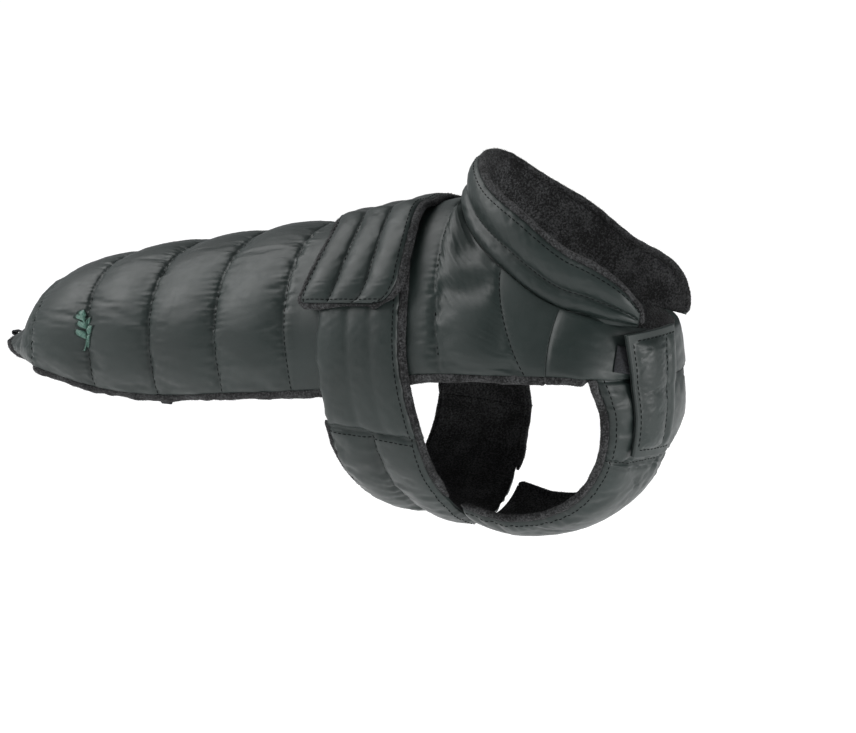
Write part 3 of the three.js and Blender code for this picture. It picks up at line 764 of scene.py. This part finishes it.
FLAP_END = LEFT_BAND["angle"][0]
across_flap = seam_spaced(FLAP_CHANNELS, 12) / FLAP_CHANNELS
rounding = np.linspace(FLAP_END, FLAP_END + 10, 13)
turns = np.concatenate([rounding[:-1], np.linspace(FLAP_END + 10, BAND_SEAM - SEAM_TURN, 88)])
v, angle = crossed(across_flap, turns)
ends = np.sqrt(clamp((angle - FLAP_END) / 6) * clamp((BAND_SEAM - angle) / 8))
channels = v * FLAP_CHANNELS
within = channel_share(channels, FLAP_CHANNELS)
girth = angle * FLAP_DEGREE + NEXT_CHANNEL * np.floor(v * (FLAP_CHANNELS - 0.001))
flap_sheet = panel(
    point=band_at(LEFT_BAND, angle, v),
    inner=mix(UNDER_BAND, UNDER_FLAP, step(-angle, 12, 26)),
    rise=channel_rise(within, 2.4) * ends,
    sewn=on_line(channels, np.round(channels)) | (angle < FLAP_END + 0.1) | (angle > BAND_SEAM - 0.3),
    loose=0.35,
    gathers=from_both_seams(within, FLAP_PITCH, girth, (3, 3), 3.0, (95, 97)),
)
left_band = quilted("left_band_with_flap", "left_band_flap", [flap_sheet], slack=0.002, most=3)

# Stand-up collar
# A band of two padded channels sewn inside the neck seam, longer than its seam so that it leans out
# at the front, where its rounded ends stay open.
COLLAR = {
    "angle": [0, 45, 90, 125, 150],
    "height": [25, 27, 31, 24, 20],
    "ahead": [0.38, 0.25, 0.08, 0.04, 0],
    "out": [0, 0, -0.04, 0.08, 0.3],
}
GAP = 0.35
COLLAR_END = 150
COLLAR_ROUND = 24
COLLAR_FLARE = 8
COLLAR_LINE = 0.375
COLLAR_TUCK = -0.125
COLLAR_PITCH = 16
COLLAR_DEGREE = 1.05
COLLAR_EASING = 8
NAPE_RAISE = 2
FRONT_RAISE = 2.2


def collar_at(signed, h):
    side = np.where(signed < 0, -1.0, 1.0)
    angle = np.abs(signed)
    x, _, turn = neck_seam(np.minimum(angle, SHOULDER_ANGLE))
    ring = barrel(x, side * turn)
    past = clamp((angle - SHOULDER_ANGLE) / (180 - SHOULDER_ANGLE))
    front = yoke_at(past, np.zeros_like(past), side)
    point = np.where((angle <= SHOULDER_ANGLE)[..., None], ring, front)
    a = np.radians(angle)
    out = unit(np.stack([-NECK_WIDE * np.cos(a), side * NECK_LONG * np.sin(a), 0 * a], -1))
    point = point + out * (COLLAR_FLARE * step(angle, 118, COLLAR_END) - SEAM - GAP)[..., None]
    point[..., 2] += 0.5 + NAPE_RAISE * step(-angle, -45, 0) + FRONT_RAISE * step(angle, 108, 122)
    to_end = clamp((angle - COLLAR_END + COLLAR_ROUND) / COLLAR_ROUND)
    height = read(COLLAR, "height", angle) * np.sqrt(1 - (0.94 * to_end) ** 2) * h
    ahead = read(COLLAR, "ahead", angle)
    outward = read(COLLAR, "out", angle)
    up = np.sqrt(1 - ahead**2 - outward**2)
    rise = np.stack([ahead * height, 0 * height, up * height], -1)
    return point + rise + out * (outward * height)[..., None]


turns = np.linspace(-COLLAR_END, COLLAR_END, 121)
h, angle = crossed(np.linspace(COLLAR_TUCK, 1, 28), turns)
upper = h > COLLAR_LINE
within = np.where(upper, (h - COLLAR_LINE) / (1 - COLLAR_LINE), clamp(h / COLLAR_LINE))
length = angle * COLLAR_DEGREE + NEXT_CHANNEL * upper
sewn_rows = (h < 0.01) | on_line(h, COLLAR_LINE) | (h > 1 - TINY)
collar_sheet = panel(
    point=eased(collar_at(angle, h), COLLAR_EASING, 1),
    rise=channel_rise(within, 3.0) * np.sqrt(clamp((COLLAR_END - np.abs(angle)) / 12)),
    sewn=sewn_rows | (np.abs(angle) > COLLAR_END - 0.1),
    loose=0.3,
    gathers=from_both_seams(within, COLLAR_PITCH, length, (3, 3), 3.4, (101, 103)),
)
collar = quilted("stand_up_collar", "stand_collar", [collar_sheet], slack=0.001, most=3, rough=0.6)

# Front tab
# A padded strip over the middle of the chest. It is sewn on one side and pressed onto the patch
# below on the other, with a line of stitches all round inside its edge.
TAB_SEWN = {"top": -8, "foot": -2}
TAB_FREE = {"top": -40, "foot": -30}
TAB_TOP = -62.5
TAB_SLANT = 3  # its sewn side starts this much higher
TAB_FOOT = -126
TAB_LIFT = 5.6
TAB_LINE = 0.25
TAB_WIDE = 34
TAB_LONG = 66
TAB_EDGE = 0.07
TAB_SIDE = TAB_EDGE * 1.4
TAB_EASING = 10


def chest_at(y, z):
    reach = np.sqrt(1 - (y / read(FORM, "half", SHOULDER_X)) ** 2)
    above = np.stack([SHOULDER_X + YOKE_TURN * reach, y, z], -1)
    places = np.linspace(0, 1, 400)
    t = np.interp(-z, -read(BIB, "z", places), places)
    below = bib_at(t, y / read(BIB, "half", t))
    return np.where((z >= YOKE_Z)[..., None], above, below)


c, down = crossed(np.linspace(0, 1, 33), np.linspace(0, 1, 55))
y = mix(mix(TAB_SEWN["top"], TAB_FREE["top"], c), mix(TAB_SEWN["foot"], TAB_FREE["foot"], c), down)
z = mix(TAB_TOP + TAB_SLANT * (1 - c), TAB_FOOT, down)
between = (down > TAB_EDGE) & (down < 1 - TAB_EDGE)
inside = (c > TAB_LINE) & (c < 1 - TAB_SIDE) & between
padded_c = clamp((c - TAB_LINE) / (1 - TAB_SIDE - TAB_LINE))
padded_down = clamp((down - TAB_EDGE) / (1 - 2 * TAB_EDGE))
narrow = clamp(c / TAB_LINE) * (c < TAB_LINE)
padded_ends = np.sqrt(clamp(np.minimum(padded_down, 1 - padded_down) / 0.1))
main_rise = channel_rise(padded_c, 2.8) * padded_ends
side_rise = channel_rise(narrow, 1.6) * padded_ends
tab_sheet = panel(
    point=eased(chest_at(y, z), TAB_EASING, 1),
    inner=TAB_LIFT,
    rise=main_rise + side_rise,
    sewn=~inside,
    fine=2,
    loose=inside * 1.0 + (c < TAB_LINE) * between * 1.0,
    gathers=[
        (np.abs(c - TAB_LINE) * TAB_WIDE, down * TAB_LONG + 200 * inside, 5, 3.6, 111),
        ((1 - c) * TAB_WIDE, down * TAB_LONG, 4, 4.2, 113),
    ],
)
front_tab = quilted("padded_front_tab", "front_tab", [tab_sheet], most=3)

# Fleece edging
# A bias strip of the lining fleece is folded over every open edge and stitched down, so it stands out
# as a soft round roll. Its brushed fibres blur its outline.
ROLL_WIDE = 4.6
ROLL_THICK = 3.6
ROLL_OFF = -0.6
HEM_PLUMP = 1.2
ROLL_SIDES = 14
BELLY_PLUMP = 0.65
FIBRE = 0.11
FIBRES = 42  # in a millimetre of edging


def rim(sheet, edge, share=(0, 1)):
    """Middle points, outward directions and normals along one edge of a panel."""
    axis = 0 if edge.endswith("row") else 1
    top, under, normal = (np.moveaxis(sheet[key], axis, 0) for key in ("top", "under", "top_normal"))
    if edge.startswith("last"):
        top, under, normal = top[::-1], under[::-1], normal[::-1]
    middle = (top[0] + under[0]) / 2
    inward = (top[3] + under[3]) / 2
    up = normal[1]
    out = middle - inward
    out = unit(out - up * np.sum(out * up, -1, keepdims=True))
    first, last = (int(round(part * (len(middle) - 1))) for part in share)
    return np.stack([middle, out, up], 1)[first:last + 1]


def steps_of(path):
    return np.linalg.norm(np.diff(path[:, 0], axis=0), axis=-1)


def sampled(path, length, at):
    """The path's rows at the distances at, where length is the distance of each of its own."""
    flat = path.reshape(len(path), -1)
    rows = np.stack([np.interp(at, length, flat[:, k]) for k in range(flat.shape[1])], -1)
    return rows.reshape(len(at), *path.shape[1:])


def evenly(path, pitch):
    """The path's rows at even distances of about pitch along its first points, with neighbours averaged."""
    path = path[np.concatenate([[True], steps_of(path) > 0.05])]
    length = np.concatenate([[0], np.cumsum(steps_of(path))])
    at = np.linspace(0, length[-1], max(int(length[-1] / pitch), 2) + 1)
    return eased(sampled(path, length, at), 3, 0), at


def tube_faces(count, steps, sides):
    """Faces of several capped tubes, each with so many steps along it and sides round it."""
    base = (np.arange(count)[:, None, None] * steps + np.arange(steps - 1)[None, :, None]) * sides
    k = np.arange(sides)[None, None]
    ahead = (k + 1) % sides
    faces = np.stack([base + k, base + ahead, base + ahead + sides, base + k + sides], -1)
    faces = faces.reshape(-1, 4).tolist()
    starts = np.arange(count) * steps * sides
    faces += [list(range(start, start + sides))[::-1] for start in starts.tolist()]
    faces += [list(range(start, start + sides)) for start in (starts + (steps - 1) * sides).tolist()]
    return faces


def roll(name, parts, cad_node, seed, plump=1.0):
    """A soft roll of fleece along an edge, with its raised fibres."""
    path, along = evenly(np.concatenate(parts), 1.5)
    middle, out, up = path[:, 0], unit(path[:, 1]), unit(path[:, 2])
    centre = middle + out * (ROLL_OFF + plump * ROLL_WIDE / 2)
    sides = ROLL_SIDES
    turn = np.linspace(0, 2 * np.pi, sides, endpoint=False)
    lump = 1 + 0.10 * noise(along[:, None] / 4.5, turn[None] * 1.4, seed)
    lump += 0.06 * noise(along[:, None] / 1.6, turn[None] * 3, seed + 1)
    taper = 7 if "band" in name else 2  # steps over which an end grows thin; a band's meets another edging
    ends = clamp(np.minimum(np.arange(len(along)), np.arange(len(along))[::-1]) / taper)
    size = (lump * np.sqrt(0.15 + 0.85 * ends)[:, None])[..., None]
    round_out = plump * ROLL_WIDE / 2 * np.cos(turn)[None, :, None] * out[:, None]
    round_up = plump * ROLL_THICK / 2 * np.sin(turn)[None, :, None] * up[:, None]
    skin = centre[:, None] + (round_out + round_up) * size
    made = mesh_object(name, skin.reshape(-1, 3), tube_faces(1, len(along), sides), [fleece])
    place_on_frame(made, [cad_node])

    random = np.random.default_rng(seed)
    count = int(along[-1] * FIBRES)
    i = random.integers(1, len(along) - 2, count)
    k = random.integers(0, sides, count)
    mid = skin[i, k] + (skin[i + 1, k] - skin[i, k]) * random.uniform(0, 1, (count, 1))
    mid += (skin[i, (k + 1) % sides] - skin[i, k]) * random.uniform(0, 1, (count, 1))
    away = unit(mid - centre[i])
    lean = unit(away + random.normal(0, 0.55, (count, 3)))
    across = unit(np.cross(lean, random.normal(0, 1, (count, 3))))
    root = mid - away * 0.25
    tip = root + lean * random.uniform(0.5, 1.5, (count, 1)) ** 1.3
    corners = np.stack([root - across * FIBRE / 2, root + across * FIBRE / 2, tip], 1).reshape(-1, 3)
    nap = mesh_object(f"{name}_nap", corners, np.arange(count * 3).reshape(-1, 3), [fleece])
    nap.parent = made
    return made, nap


wing_right, wing_left = wing_sheets
hem_path = [
    rim(wing_right, "first_column")[::-1],
    rim(main_sheet, "first_column")[::-1],
    rim(tail_sheet, "first_column")[::-1],
    rim(tail_sheet, "first_row"),
    rim(tail_sheet, "last_column"),
    rim(main_sheet, "last_column"),
    rim(wing_left, "last_column"),
]
BAND_RUN = 4 / 18  # share of the belly panel's front edge that a band's edging covers
rolls = {
    "hem_edging": hem_path,
    "right_armhole_edging": [
        rim(yoke_sheets["right"], "first_column", (0, ARMHOLE_TURN)),
        rim(bib_sheet, "first_row"),
    ],
    "left_armhole_edging": [
        rim(yoke_sheets["left"], "last_column", (0, ARMHOLE_TURN)),
        rim(bib_sheet, "last_row"),
    ],
    "right_band_edging": [
        rim(right_sheet, "last_row")[::-1],
        rim(belly_sheet, "last_row", (1 - BAND_RUN, 1))[::-1],
    ],
    "left_band_edging": [
        rim(flap_sheet, "first_row")[::-1],
        rim(flap_sheet, "first_column"),
        rim(flap_sheet, "last_row"),
        rim(belly_sheet, "last_row", (0, BAND_RUN)),
    ],
    "belly_edging": [rim(belly_sheet, "first_row")],
    "collar_edging": [
        rim(collar_sheet, "first_column", (0.2, 1)),
        rim(collar_sheet, "last_row"),
        rim(collar_sheet, "last_column", (0.2, 1))[::-1],
    ],
}
for seed, (word, path) in enumerate(rolls.items()):
    plump = {"belly_edging": BELLY_PLUMP, "hem_edging": HEM_PLUMP}.get(word, 1.0)
    edging, nap = roll(f"fleece_{word}", path, word, 200 + 10 * seed, plump)
    length = float(evenly(np.concatenate(path), 5)[1][-1] * MM)

# Stitches
# Core-spun polyester thread, about 3 mm to a stitch, drawn darker than the shell: the thread itself is dark,
# and the rest is painted shade for the shadow in each seam's groove.
# Each stitch dips into the cloth at its ends, so a row of them looks like a line of small beads in a groove.
STITCH = 3.1
STITCH_GAP = 0.4
STITCH_LIFT = np.array([-0.3, 0.0, 0.08, 0.0, -0.3])
THREAD = 0.3  # half the thread's thickness
thread, tree, where = empty_material("dark_thread_with_painted_groove_shade")
# The thread's base colour is darker than the real thread: painted shade for the shadowed seam grooves.
surface(
    tree,
    {"Base Color": linear("#0a0e0e"), "Roughness": 0.9, "IOR": 1.4, "Specular IOR Level": 0.2},
    {"Normal": relief(tree, grain(tree, where, 0.0004, 1.0), 0.4, 0.0001)},
)


def trace(sheet, row=None, column=None, share=(0, 1)):
    """Points and normals of a line on a panel at a share of its rows or columns."""
    axis = 0 if row is not None else 1
    place = row if row is not None else column
    lines = []
    for key in ("top", "top_normal"):
        grid = np.moveaxis(sheet[key], axis, 0)
        at = place * (len(grid) - 1)
        i = min(int(at), len(grid) - 2)
        lines.append(mix(grid[i], grid[i + 1], at - i))
    first, last = (int(round(part * (len(lines[0]) - 1))) for part in share)
    return np.stack(lines, 1)[first:last + 1]


def tubes(name, paths, normals, radius, material, sides=5):
    """Many short threads as one mesh: paths and normals are thread by point by xyz."""
    count, steps = paths.shape[:2]
    along = unit(np.gradient(paths, axis=1))
    side = unit(np.cross(along, normals))
    up = np.cross(side, along)
    turn = np.linspace(0, 2 * np.pi, sides, endpoint=False)
    ring = np.cos(turn)[:, None] * side[:, :, None] + np.sin(turn)[:, None] * up[:, :, None]
    taper = (radius * np.sqrt(np.sin(np.linspace(0.3, np.pi - 0.3, steps))))[None, :, None, None]
    points = (paths[:, :, None] + ring * taper).reshape(-1, 3)
    return mesh_object(name, points, tube_faces(count, steps, sides), [material])


def stitches(name, lines):
    """Rows of stitches along lines of points and normals."""
    paths = []
    normals = []
    for line in lines:
        even, at = evenly(line, 0.25)
        for start in np.arange(STITCH_GAP, at[-1] - STITCH, STITCH):
            places = start + np.linspace(0, STITCH - STITCH_GAP, len(STITCH_LIFT))
            spots = sampled(even, at, places)
            up = unit(spots[:, 1])
            paths.append(spots[:, 0] + up * STITCH_LIFT[:, None])
            normals.append(up)
    made = tubes(name, np.array(paths), np.array(normals), THREAD, thread)
    place_on_frame(made, [])


back_lines = [trace(tail_sheet, row=1.0)]
back_lines += [trace(main_sheet, row=k / CHANNELS) for k in (1, 2, 3, 4, 6)]
back_lines += [trace(sheet, row=0.5) for sheet in wing_sheets]
stitches("back_quilt_stitches", back_lines)
stitches("bib_stitches", [
    trace(bib_sheet, column=BIB_LINE_COLUMN),
    trace(bib_sheet, row=0.035),
    trace(bib_sheet, row=0.965),
])
stitches("belly_stitches", [
    trace(belly_sheet, row=0.5),
    trace(belly_sheet, column=0.045),
    trace(belly_sheet, column=0.955),
    trace(belly_sheet, row=0.95),
])
stitches("band_stitches", [
    trace(right_sheet, row=0.95, share=(0, 0.75)),
    trace(flap_sheet, row=1 / 3),
    trace(flap_sheet, row=2 / 3),
    trace(flap_sheet, row=0.06),
    trace(flap_sheet, row=0.94),
    trace(flap_sheet, column=0.016),
])
line_row = (COLLAR_LINE - COLLAR_TUCK) / (1 - COLLAR_TUCK)
stitches("collar_stitches", [trace(collar_sheet, row=line_row), trace(collar_sheet, row=0.93)])
stitches("tab_stitches", [
    trace(tab_sheet, row=TAB_LINE, share=(0.07, 0.93)),
    trace(tab_sheet, row=0.92, share=(0.07, 0.93)),
    trace(tab_sheet, column=0.06, share=(0.0, 0.92)),
    trace(tab_sheet, column=0.94, share=(0.0, 0.92)),
])

# Embroidered sprig
# A small generic leaf sprig in satin stitch, near the rear edge on the right: each leaf is a row of
# glossy rayon threads laid side by side over a darker padding.
rayon, tree, where = empty_material("rayon_embroidery_thread")
tone = ramp(tree, grain(tree, where, 0.0006, 2.0), (0.35, "#35574d"), (0.65, "#5c8476"))
surface(
    tree,
    {"Roughness": 0.32, "IOR": 1.5, "Sheen Weight": 0.2, "Sheen Roughness": 0.3},
    {"Base Color": tone},
)
dark_rayon = bpy.data.materials.new("dark_rayon_embroidery_thread")
dark_rayon.use_nodes = True
dark = dark_rayon.node_tree.nodes["Principled BSDF"].inputs
dark["Base Color"].default_value = linear("#0e2620")
dark["Roughness"].default_value = 0.4

SPRIG_PLACE = 0.9
SPRIG_V = -0.75
SPRIG_TALL = 23
SPRIG_SPREAD = 1.9
STEM_SWAY = 2.4
LEAVES = {
    "up": [0.10, 0.24, 0.38, 0.52, 0.66, 0.78, 0.90],
    "turn": [48, 134, 46, 132, 50, 126, 88],
    "long": [7.6, 7.8, 7.6, 7.2, 6.6, 5.8, 6.0],
    "wide": [4.8, 4.8, 4.8, 4.6, 4.2, 3.6, 3.6],
}


def on_back(a, b, lift):
    """Points and normals on the back panel, a mm towards the head and b mm up from the sprig's middle."""
    high, wide = (size - 1 for size in main_sheet["top"].shape[:2])
    rows = (SPRIG_PLACE + a / 46) / CHANNELS * high
    columns = ((SPRIG_V + b / HALF_GIRTH) + 1) / 2 * wide
    i = np.clip(rows.astype(int), 0, high - 1)
    j = np.clip(columns.astype(int), 0, wide - 1)
    s = (rows - i)[..., None]
    t = (columns - j)[..., None]
    both = []
    for key in ("top", "top_normal"):
        grid = main_sheet[key]
        low = mix(grid[i, j], grid[i + 1, j], s)
        high = mix(grid[i, j + 1], grid[i + 1, j + 1], s)
        both.append(mix(low, high, t))
    return both[0] + both[1] * lift[..., None], both[1]


def stem(up):
    """Middle of the stem at a share of its height, in mm towards the head and up from the sprig's middle."""
    return STEM_SWAY * math.sin(up * 4.2), (up - 0.5) * SPRIG_TALL


def satin(name, grow, lift, material):
    """All leaves and the stem as rows of threads, grow wider and lift above the cloth, in mm."""
    paths = []
    normals = []
    arch = np.array([0, 0.75, 1, 0.75, 0])
    for up, turn, long, wide in zip(*LEAVES.values()):
        stem_a, stem_b = stem(up)
        turn = math.radians(turn)
        length = long + 2 * grow
        wide += 2 * grow
        for along in np.arange(0.25, length, 0.34):
            half = wide / 2 * math.sin(math.pi * (along / length) ** 0.85) + 0.12
            across = np.linspace(-half, half, 5)
            slant = 0.45 * across
            reach = along - grow + slant
            a = stem_a + reach * math.cos(turn) - across * math.sin(turn)
            b = stem_b + reach * math.sin(turn) + across * math.cos(turn)
            point, normal = on_back(SPRIG_SPREAD * a, b, lift + 0.35 * arch)
            paths.append(point)
            normals.append(normal)
    for up in np.arange(0, 0.96, 0.016):
        across = np.linspace(-0.55 - grow, 0.55 + grow, 5)
        stem_a, stem_b = stem(up)
        point, normal = on_back(SPRIG_SPREAD * (stem_a + across), stem_b + 0.5 * across, lift + 0.3 * arch)
        paths.append(point)
        normals.append(normal)
    made = tubes(name, np.array(paths), np.array(normals), 0.22, material)
    place_on_frame(made, [])


satin("sprig_padding", 1.0, 0.0, dark_rayon)
satin("sprig_satin_stitch", 0.0, 0.35, rayon)

# Fastener patch and loop ends
# Hook-and-loop tape stitched to the right yoke, which the tab presses onto. Folded ends of woven tape
# stick out of the hem at the tail and on each side.
tape, tree, where = empty_material("woven_polyester_tape")
ribs = grain(tree, where, 0.0007, 2.0)
tone = ramp(tree, ribs, (0.35, "#0b0c0f"), (0.7, "#1f2227"))
raised = relief(tree, ribs, 0.6, 0.0003)
surface(tree, {"Roughness": 0.8, "IOR": 1.5}, {"Base Color": tone, "Normal": raised})

PATCH_INNER = 4.5
PATCH_TURN = [0.47, 0.72]
PATCH_DOWN = [0.7, 0.25]
t, v = crossed(np.linspace(*PATCH_TURN, 41), np.linspace(*PATCH_DOWN, 31))
inside_turn = np.minimum(t - PATCH_TURN[0], PATCH_TURN[1] - t)
rounded = np.minimum(inside_turn, np.minimum(v - PATCH_DOWN[1], PATCH_DOWN[0] - v) * 0.7)
patch_grid = yoke_at(t, v, -1)
patch_normal = facing(patch_grid)
pile = 0.18 * noise(t * 90, v * 50, 301)
patch_height = PATCH_INNER + 0.75 * clamp(rounded / 0.02) ** 0.5 + pile
patch_top = patch_grid + patch_normal * patch_height[..., None]
patch_under = patch_grid + patch_normal * (PATCH_INNER - 0.25)
patch = closed("hook_and_loop_patch", [patch_top], [patch_under], [tape, tape])
place_on_frame(patch, ["fastener_patch"])


def loop_end(name, spot, wide, long, thick):
    """A tape folded back on itself, standing off the edging at one spot of a rim."""
    middle, out, up = spot
    along = np.cross(out, up)
    turn = np.linspace(-np.pi / 2, np.pi / 2, 9)
    folded = long - thick
    reach = np.concatenate([[-1.6, folded], folded + thick / 2 * np.cos(turn), [folded, -1.6]])
    height = np.concatenate([[-thick / 2] * 2, thick / 2 * np.sin(turn), [thick / 2] * 2])
    centre = middle + out * (ROLL_OFF + HEM_PLUMP * ROLL_WIDE)
    skins = []
    for shrink in (0, 0.8):
        size = 1 - shrink / (thick / 2)
        shape = centre + out * (reach - shrink * (reach > 0))[:, None] + up * (height * size)[:, None]
        skins.append(np.stack([shape - along * wide / 2, shape + along * wide / 2], 1))
    made = closed(name, [skins[0]], [skins[1]], [tape, tape])
    bevel = made.modifiers.new("soft edge", "BEVEL")
    bevel.width = 0.3 * MM
    bevel.segments = 2
    return made


TILT_OUT = 0.77
TILT_UP = 0.64
tail_spot = rim(tail_sheet, "first_row")
middle, out, up = tail_spot[len(tail_spot) // 2]
tilted = [middle, TILT_OUT * out + TILT_UP * up, TILT_OUT * up - TILT_UP * out]
tail_loop = loop_end("tail_loop_end", tilted, 5, 4.5, 3.2)
place_on_frame(tail_loop, ["tail_loop"])
HEM_LOOP = 11 / 30
for word, edge in (("right", "first_column"), ("left", "last_column")):
    hem_spots = rim(main_sheet, edge)
    spot = hem_spots[int(HEM_LOOP * (len(hem_spots) - 1))]
    hem_loop = loop_end(f"{word}_hem_loop_end", spot, 7, 3, 2.4)
    place_on_frame(hem_loop, [f"{word}_hem_loop"])

# Camera, light and floor
# A plain pale room with a soft sun and two small lamps, and the camera where the photograph was taken.
AIM = np.array([-28, 0, -93.5])
AZIMUTH = math.radians(30)
ELEVATION = math.radians(8)
DISTANCE = 1040
LENS = 77.8
back = np.array([
    math.sin(AZIMUTH) * math.cos(ELEVATION),
    -math.cos(AZIMUTH) * math.cos(ELEVATION),
    math.sin(ELEVATION),
])
camera_data = bpy.data.cameras.new("camera")
camera_data.lens = LENS
camera_data.sensor_width = 36
camera = bpy.data.objects.new("camera", camera_data)
camera.location = (AIM + back * DISTANCE) * MM
camera.rotation_euler = (math.pi / 2 - ELEVATION, 0, AZIMUTH)
bpy.context.scene.collection.objects.link(camera)
bpy.context.scene.camera = camera

FLOOR_Z = -420
FLOOR_REACH = 6000
paint = bpy.data.materials.new("matt_white_floor")
paint.use_nodes = True
pale = paint.node_tree.nodes["Principled BSDF"].inputs
pale["Base Color"].default_value = linear("#f4f4f4")
pale["Roughness"].default_value = 0.9
pale["Emission Color"].default_value = linear("#ffffff")
pale["Emission Strength"].default_value = 0.4
corners = [(x * FLOOR_REACH, y * FLOOR_REACH, FLOOR_Z) for x, y in ((-1, -1), (1, -1), (1, 1), (-1, 1))]
floor = mesh_object("floor", np.array(corners), [(0, 1, 2, 3)], [paint])

# The room is seen white, and lights the coat less from above than from its pale lower walls.
world = bpy.data.worlds.new("pale_room")
world.use_nodes = True
tree = world.node_tree
tree.nodes.clear()
where = node(tree, "ShaderNodeTexCoord").outputs["Generated"]
height = node(tree, "ShaderNodeSeparateXYZ", links={"Vector": where}).outputs["Z"]
falling = remap(tree, height, 0.0, 0.6, 0.5, 0.2)
walls = node(tree, "ShaderNodeBackground", {"Color": linear("#fbfcff")}, {"Strength": falling})
backdrop = node(tree, "ShaderNodeBackground", {"Color": linear("#ffffff"), "Strength": 1.05})
seen = node(
    tree,
    "ShaderNodeMixShader",
    links={
        0: node(tree, "ShaderNodeLightPath").outputs["Is Camera Ray"],
        1: walls.outputs["Background"],
        2: backdrop.outputs["Background"],
    },
)
node(tree, "ShaderNodeOutputWorld", links={"Surface": seen.outputs["Shader"]})
bpy.context.scene.world = world
bpy.context.scene.view_settings.view_transform = "Standard"


def lamp(name, kind, place, power, **shape):
    """A lamp at place, in mm, that faces the middle of the coat."""
    data = bpy.data.lights.new(name, kind)
    data.energy = power
    for key, value in shape.items():
        setattr(data, key, value)
    made = bpy.data.objects.new(name, data)
    made.location = np.array(place) * MM
    direction = np.array(place) - AIM
    flat = math.hypot(direction[0], direction[1])
    made.rotation_euler = (math.atan2(flat, direction[2]), 0, math.atan2(direction[0], -direction[1]))
    bpy.context.scene.collection.objects.link(made)


lamp("ceiling", "SUN", (-900, -250, 1300), 2.1, angle=math.radians(55))
lamp("key", "AREA", (-950, -620, 450), 4.6, size=0.6)
lamp("front", "AREA", (1300, -250, 0), 7.5, size=0.4)
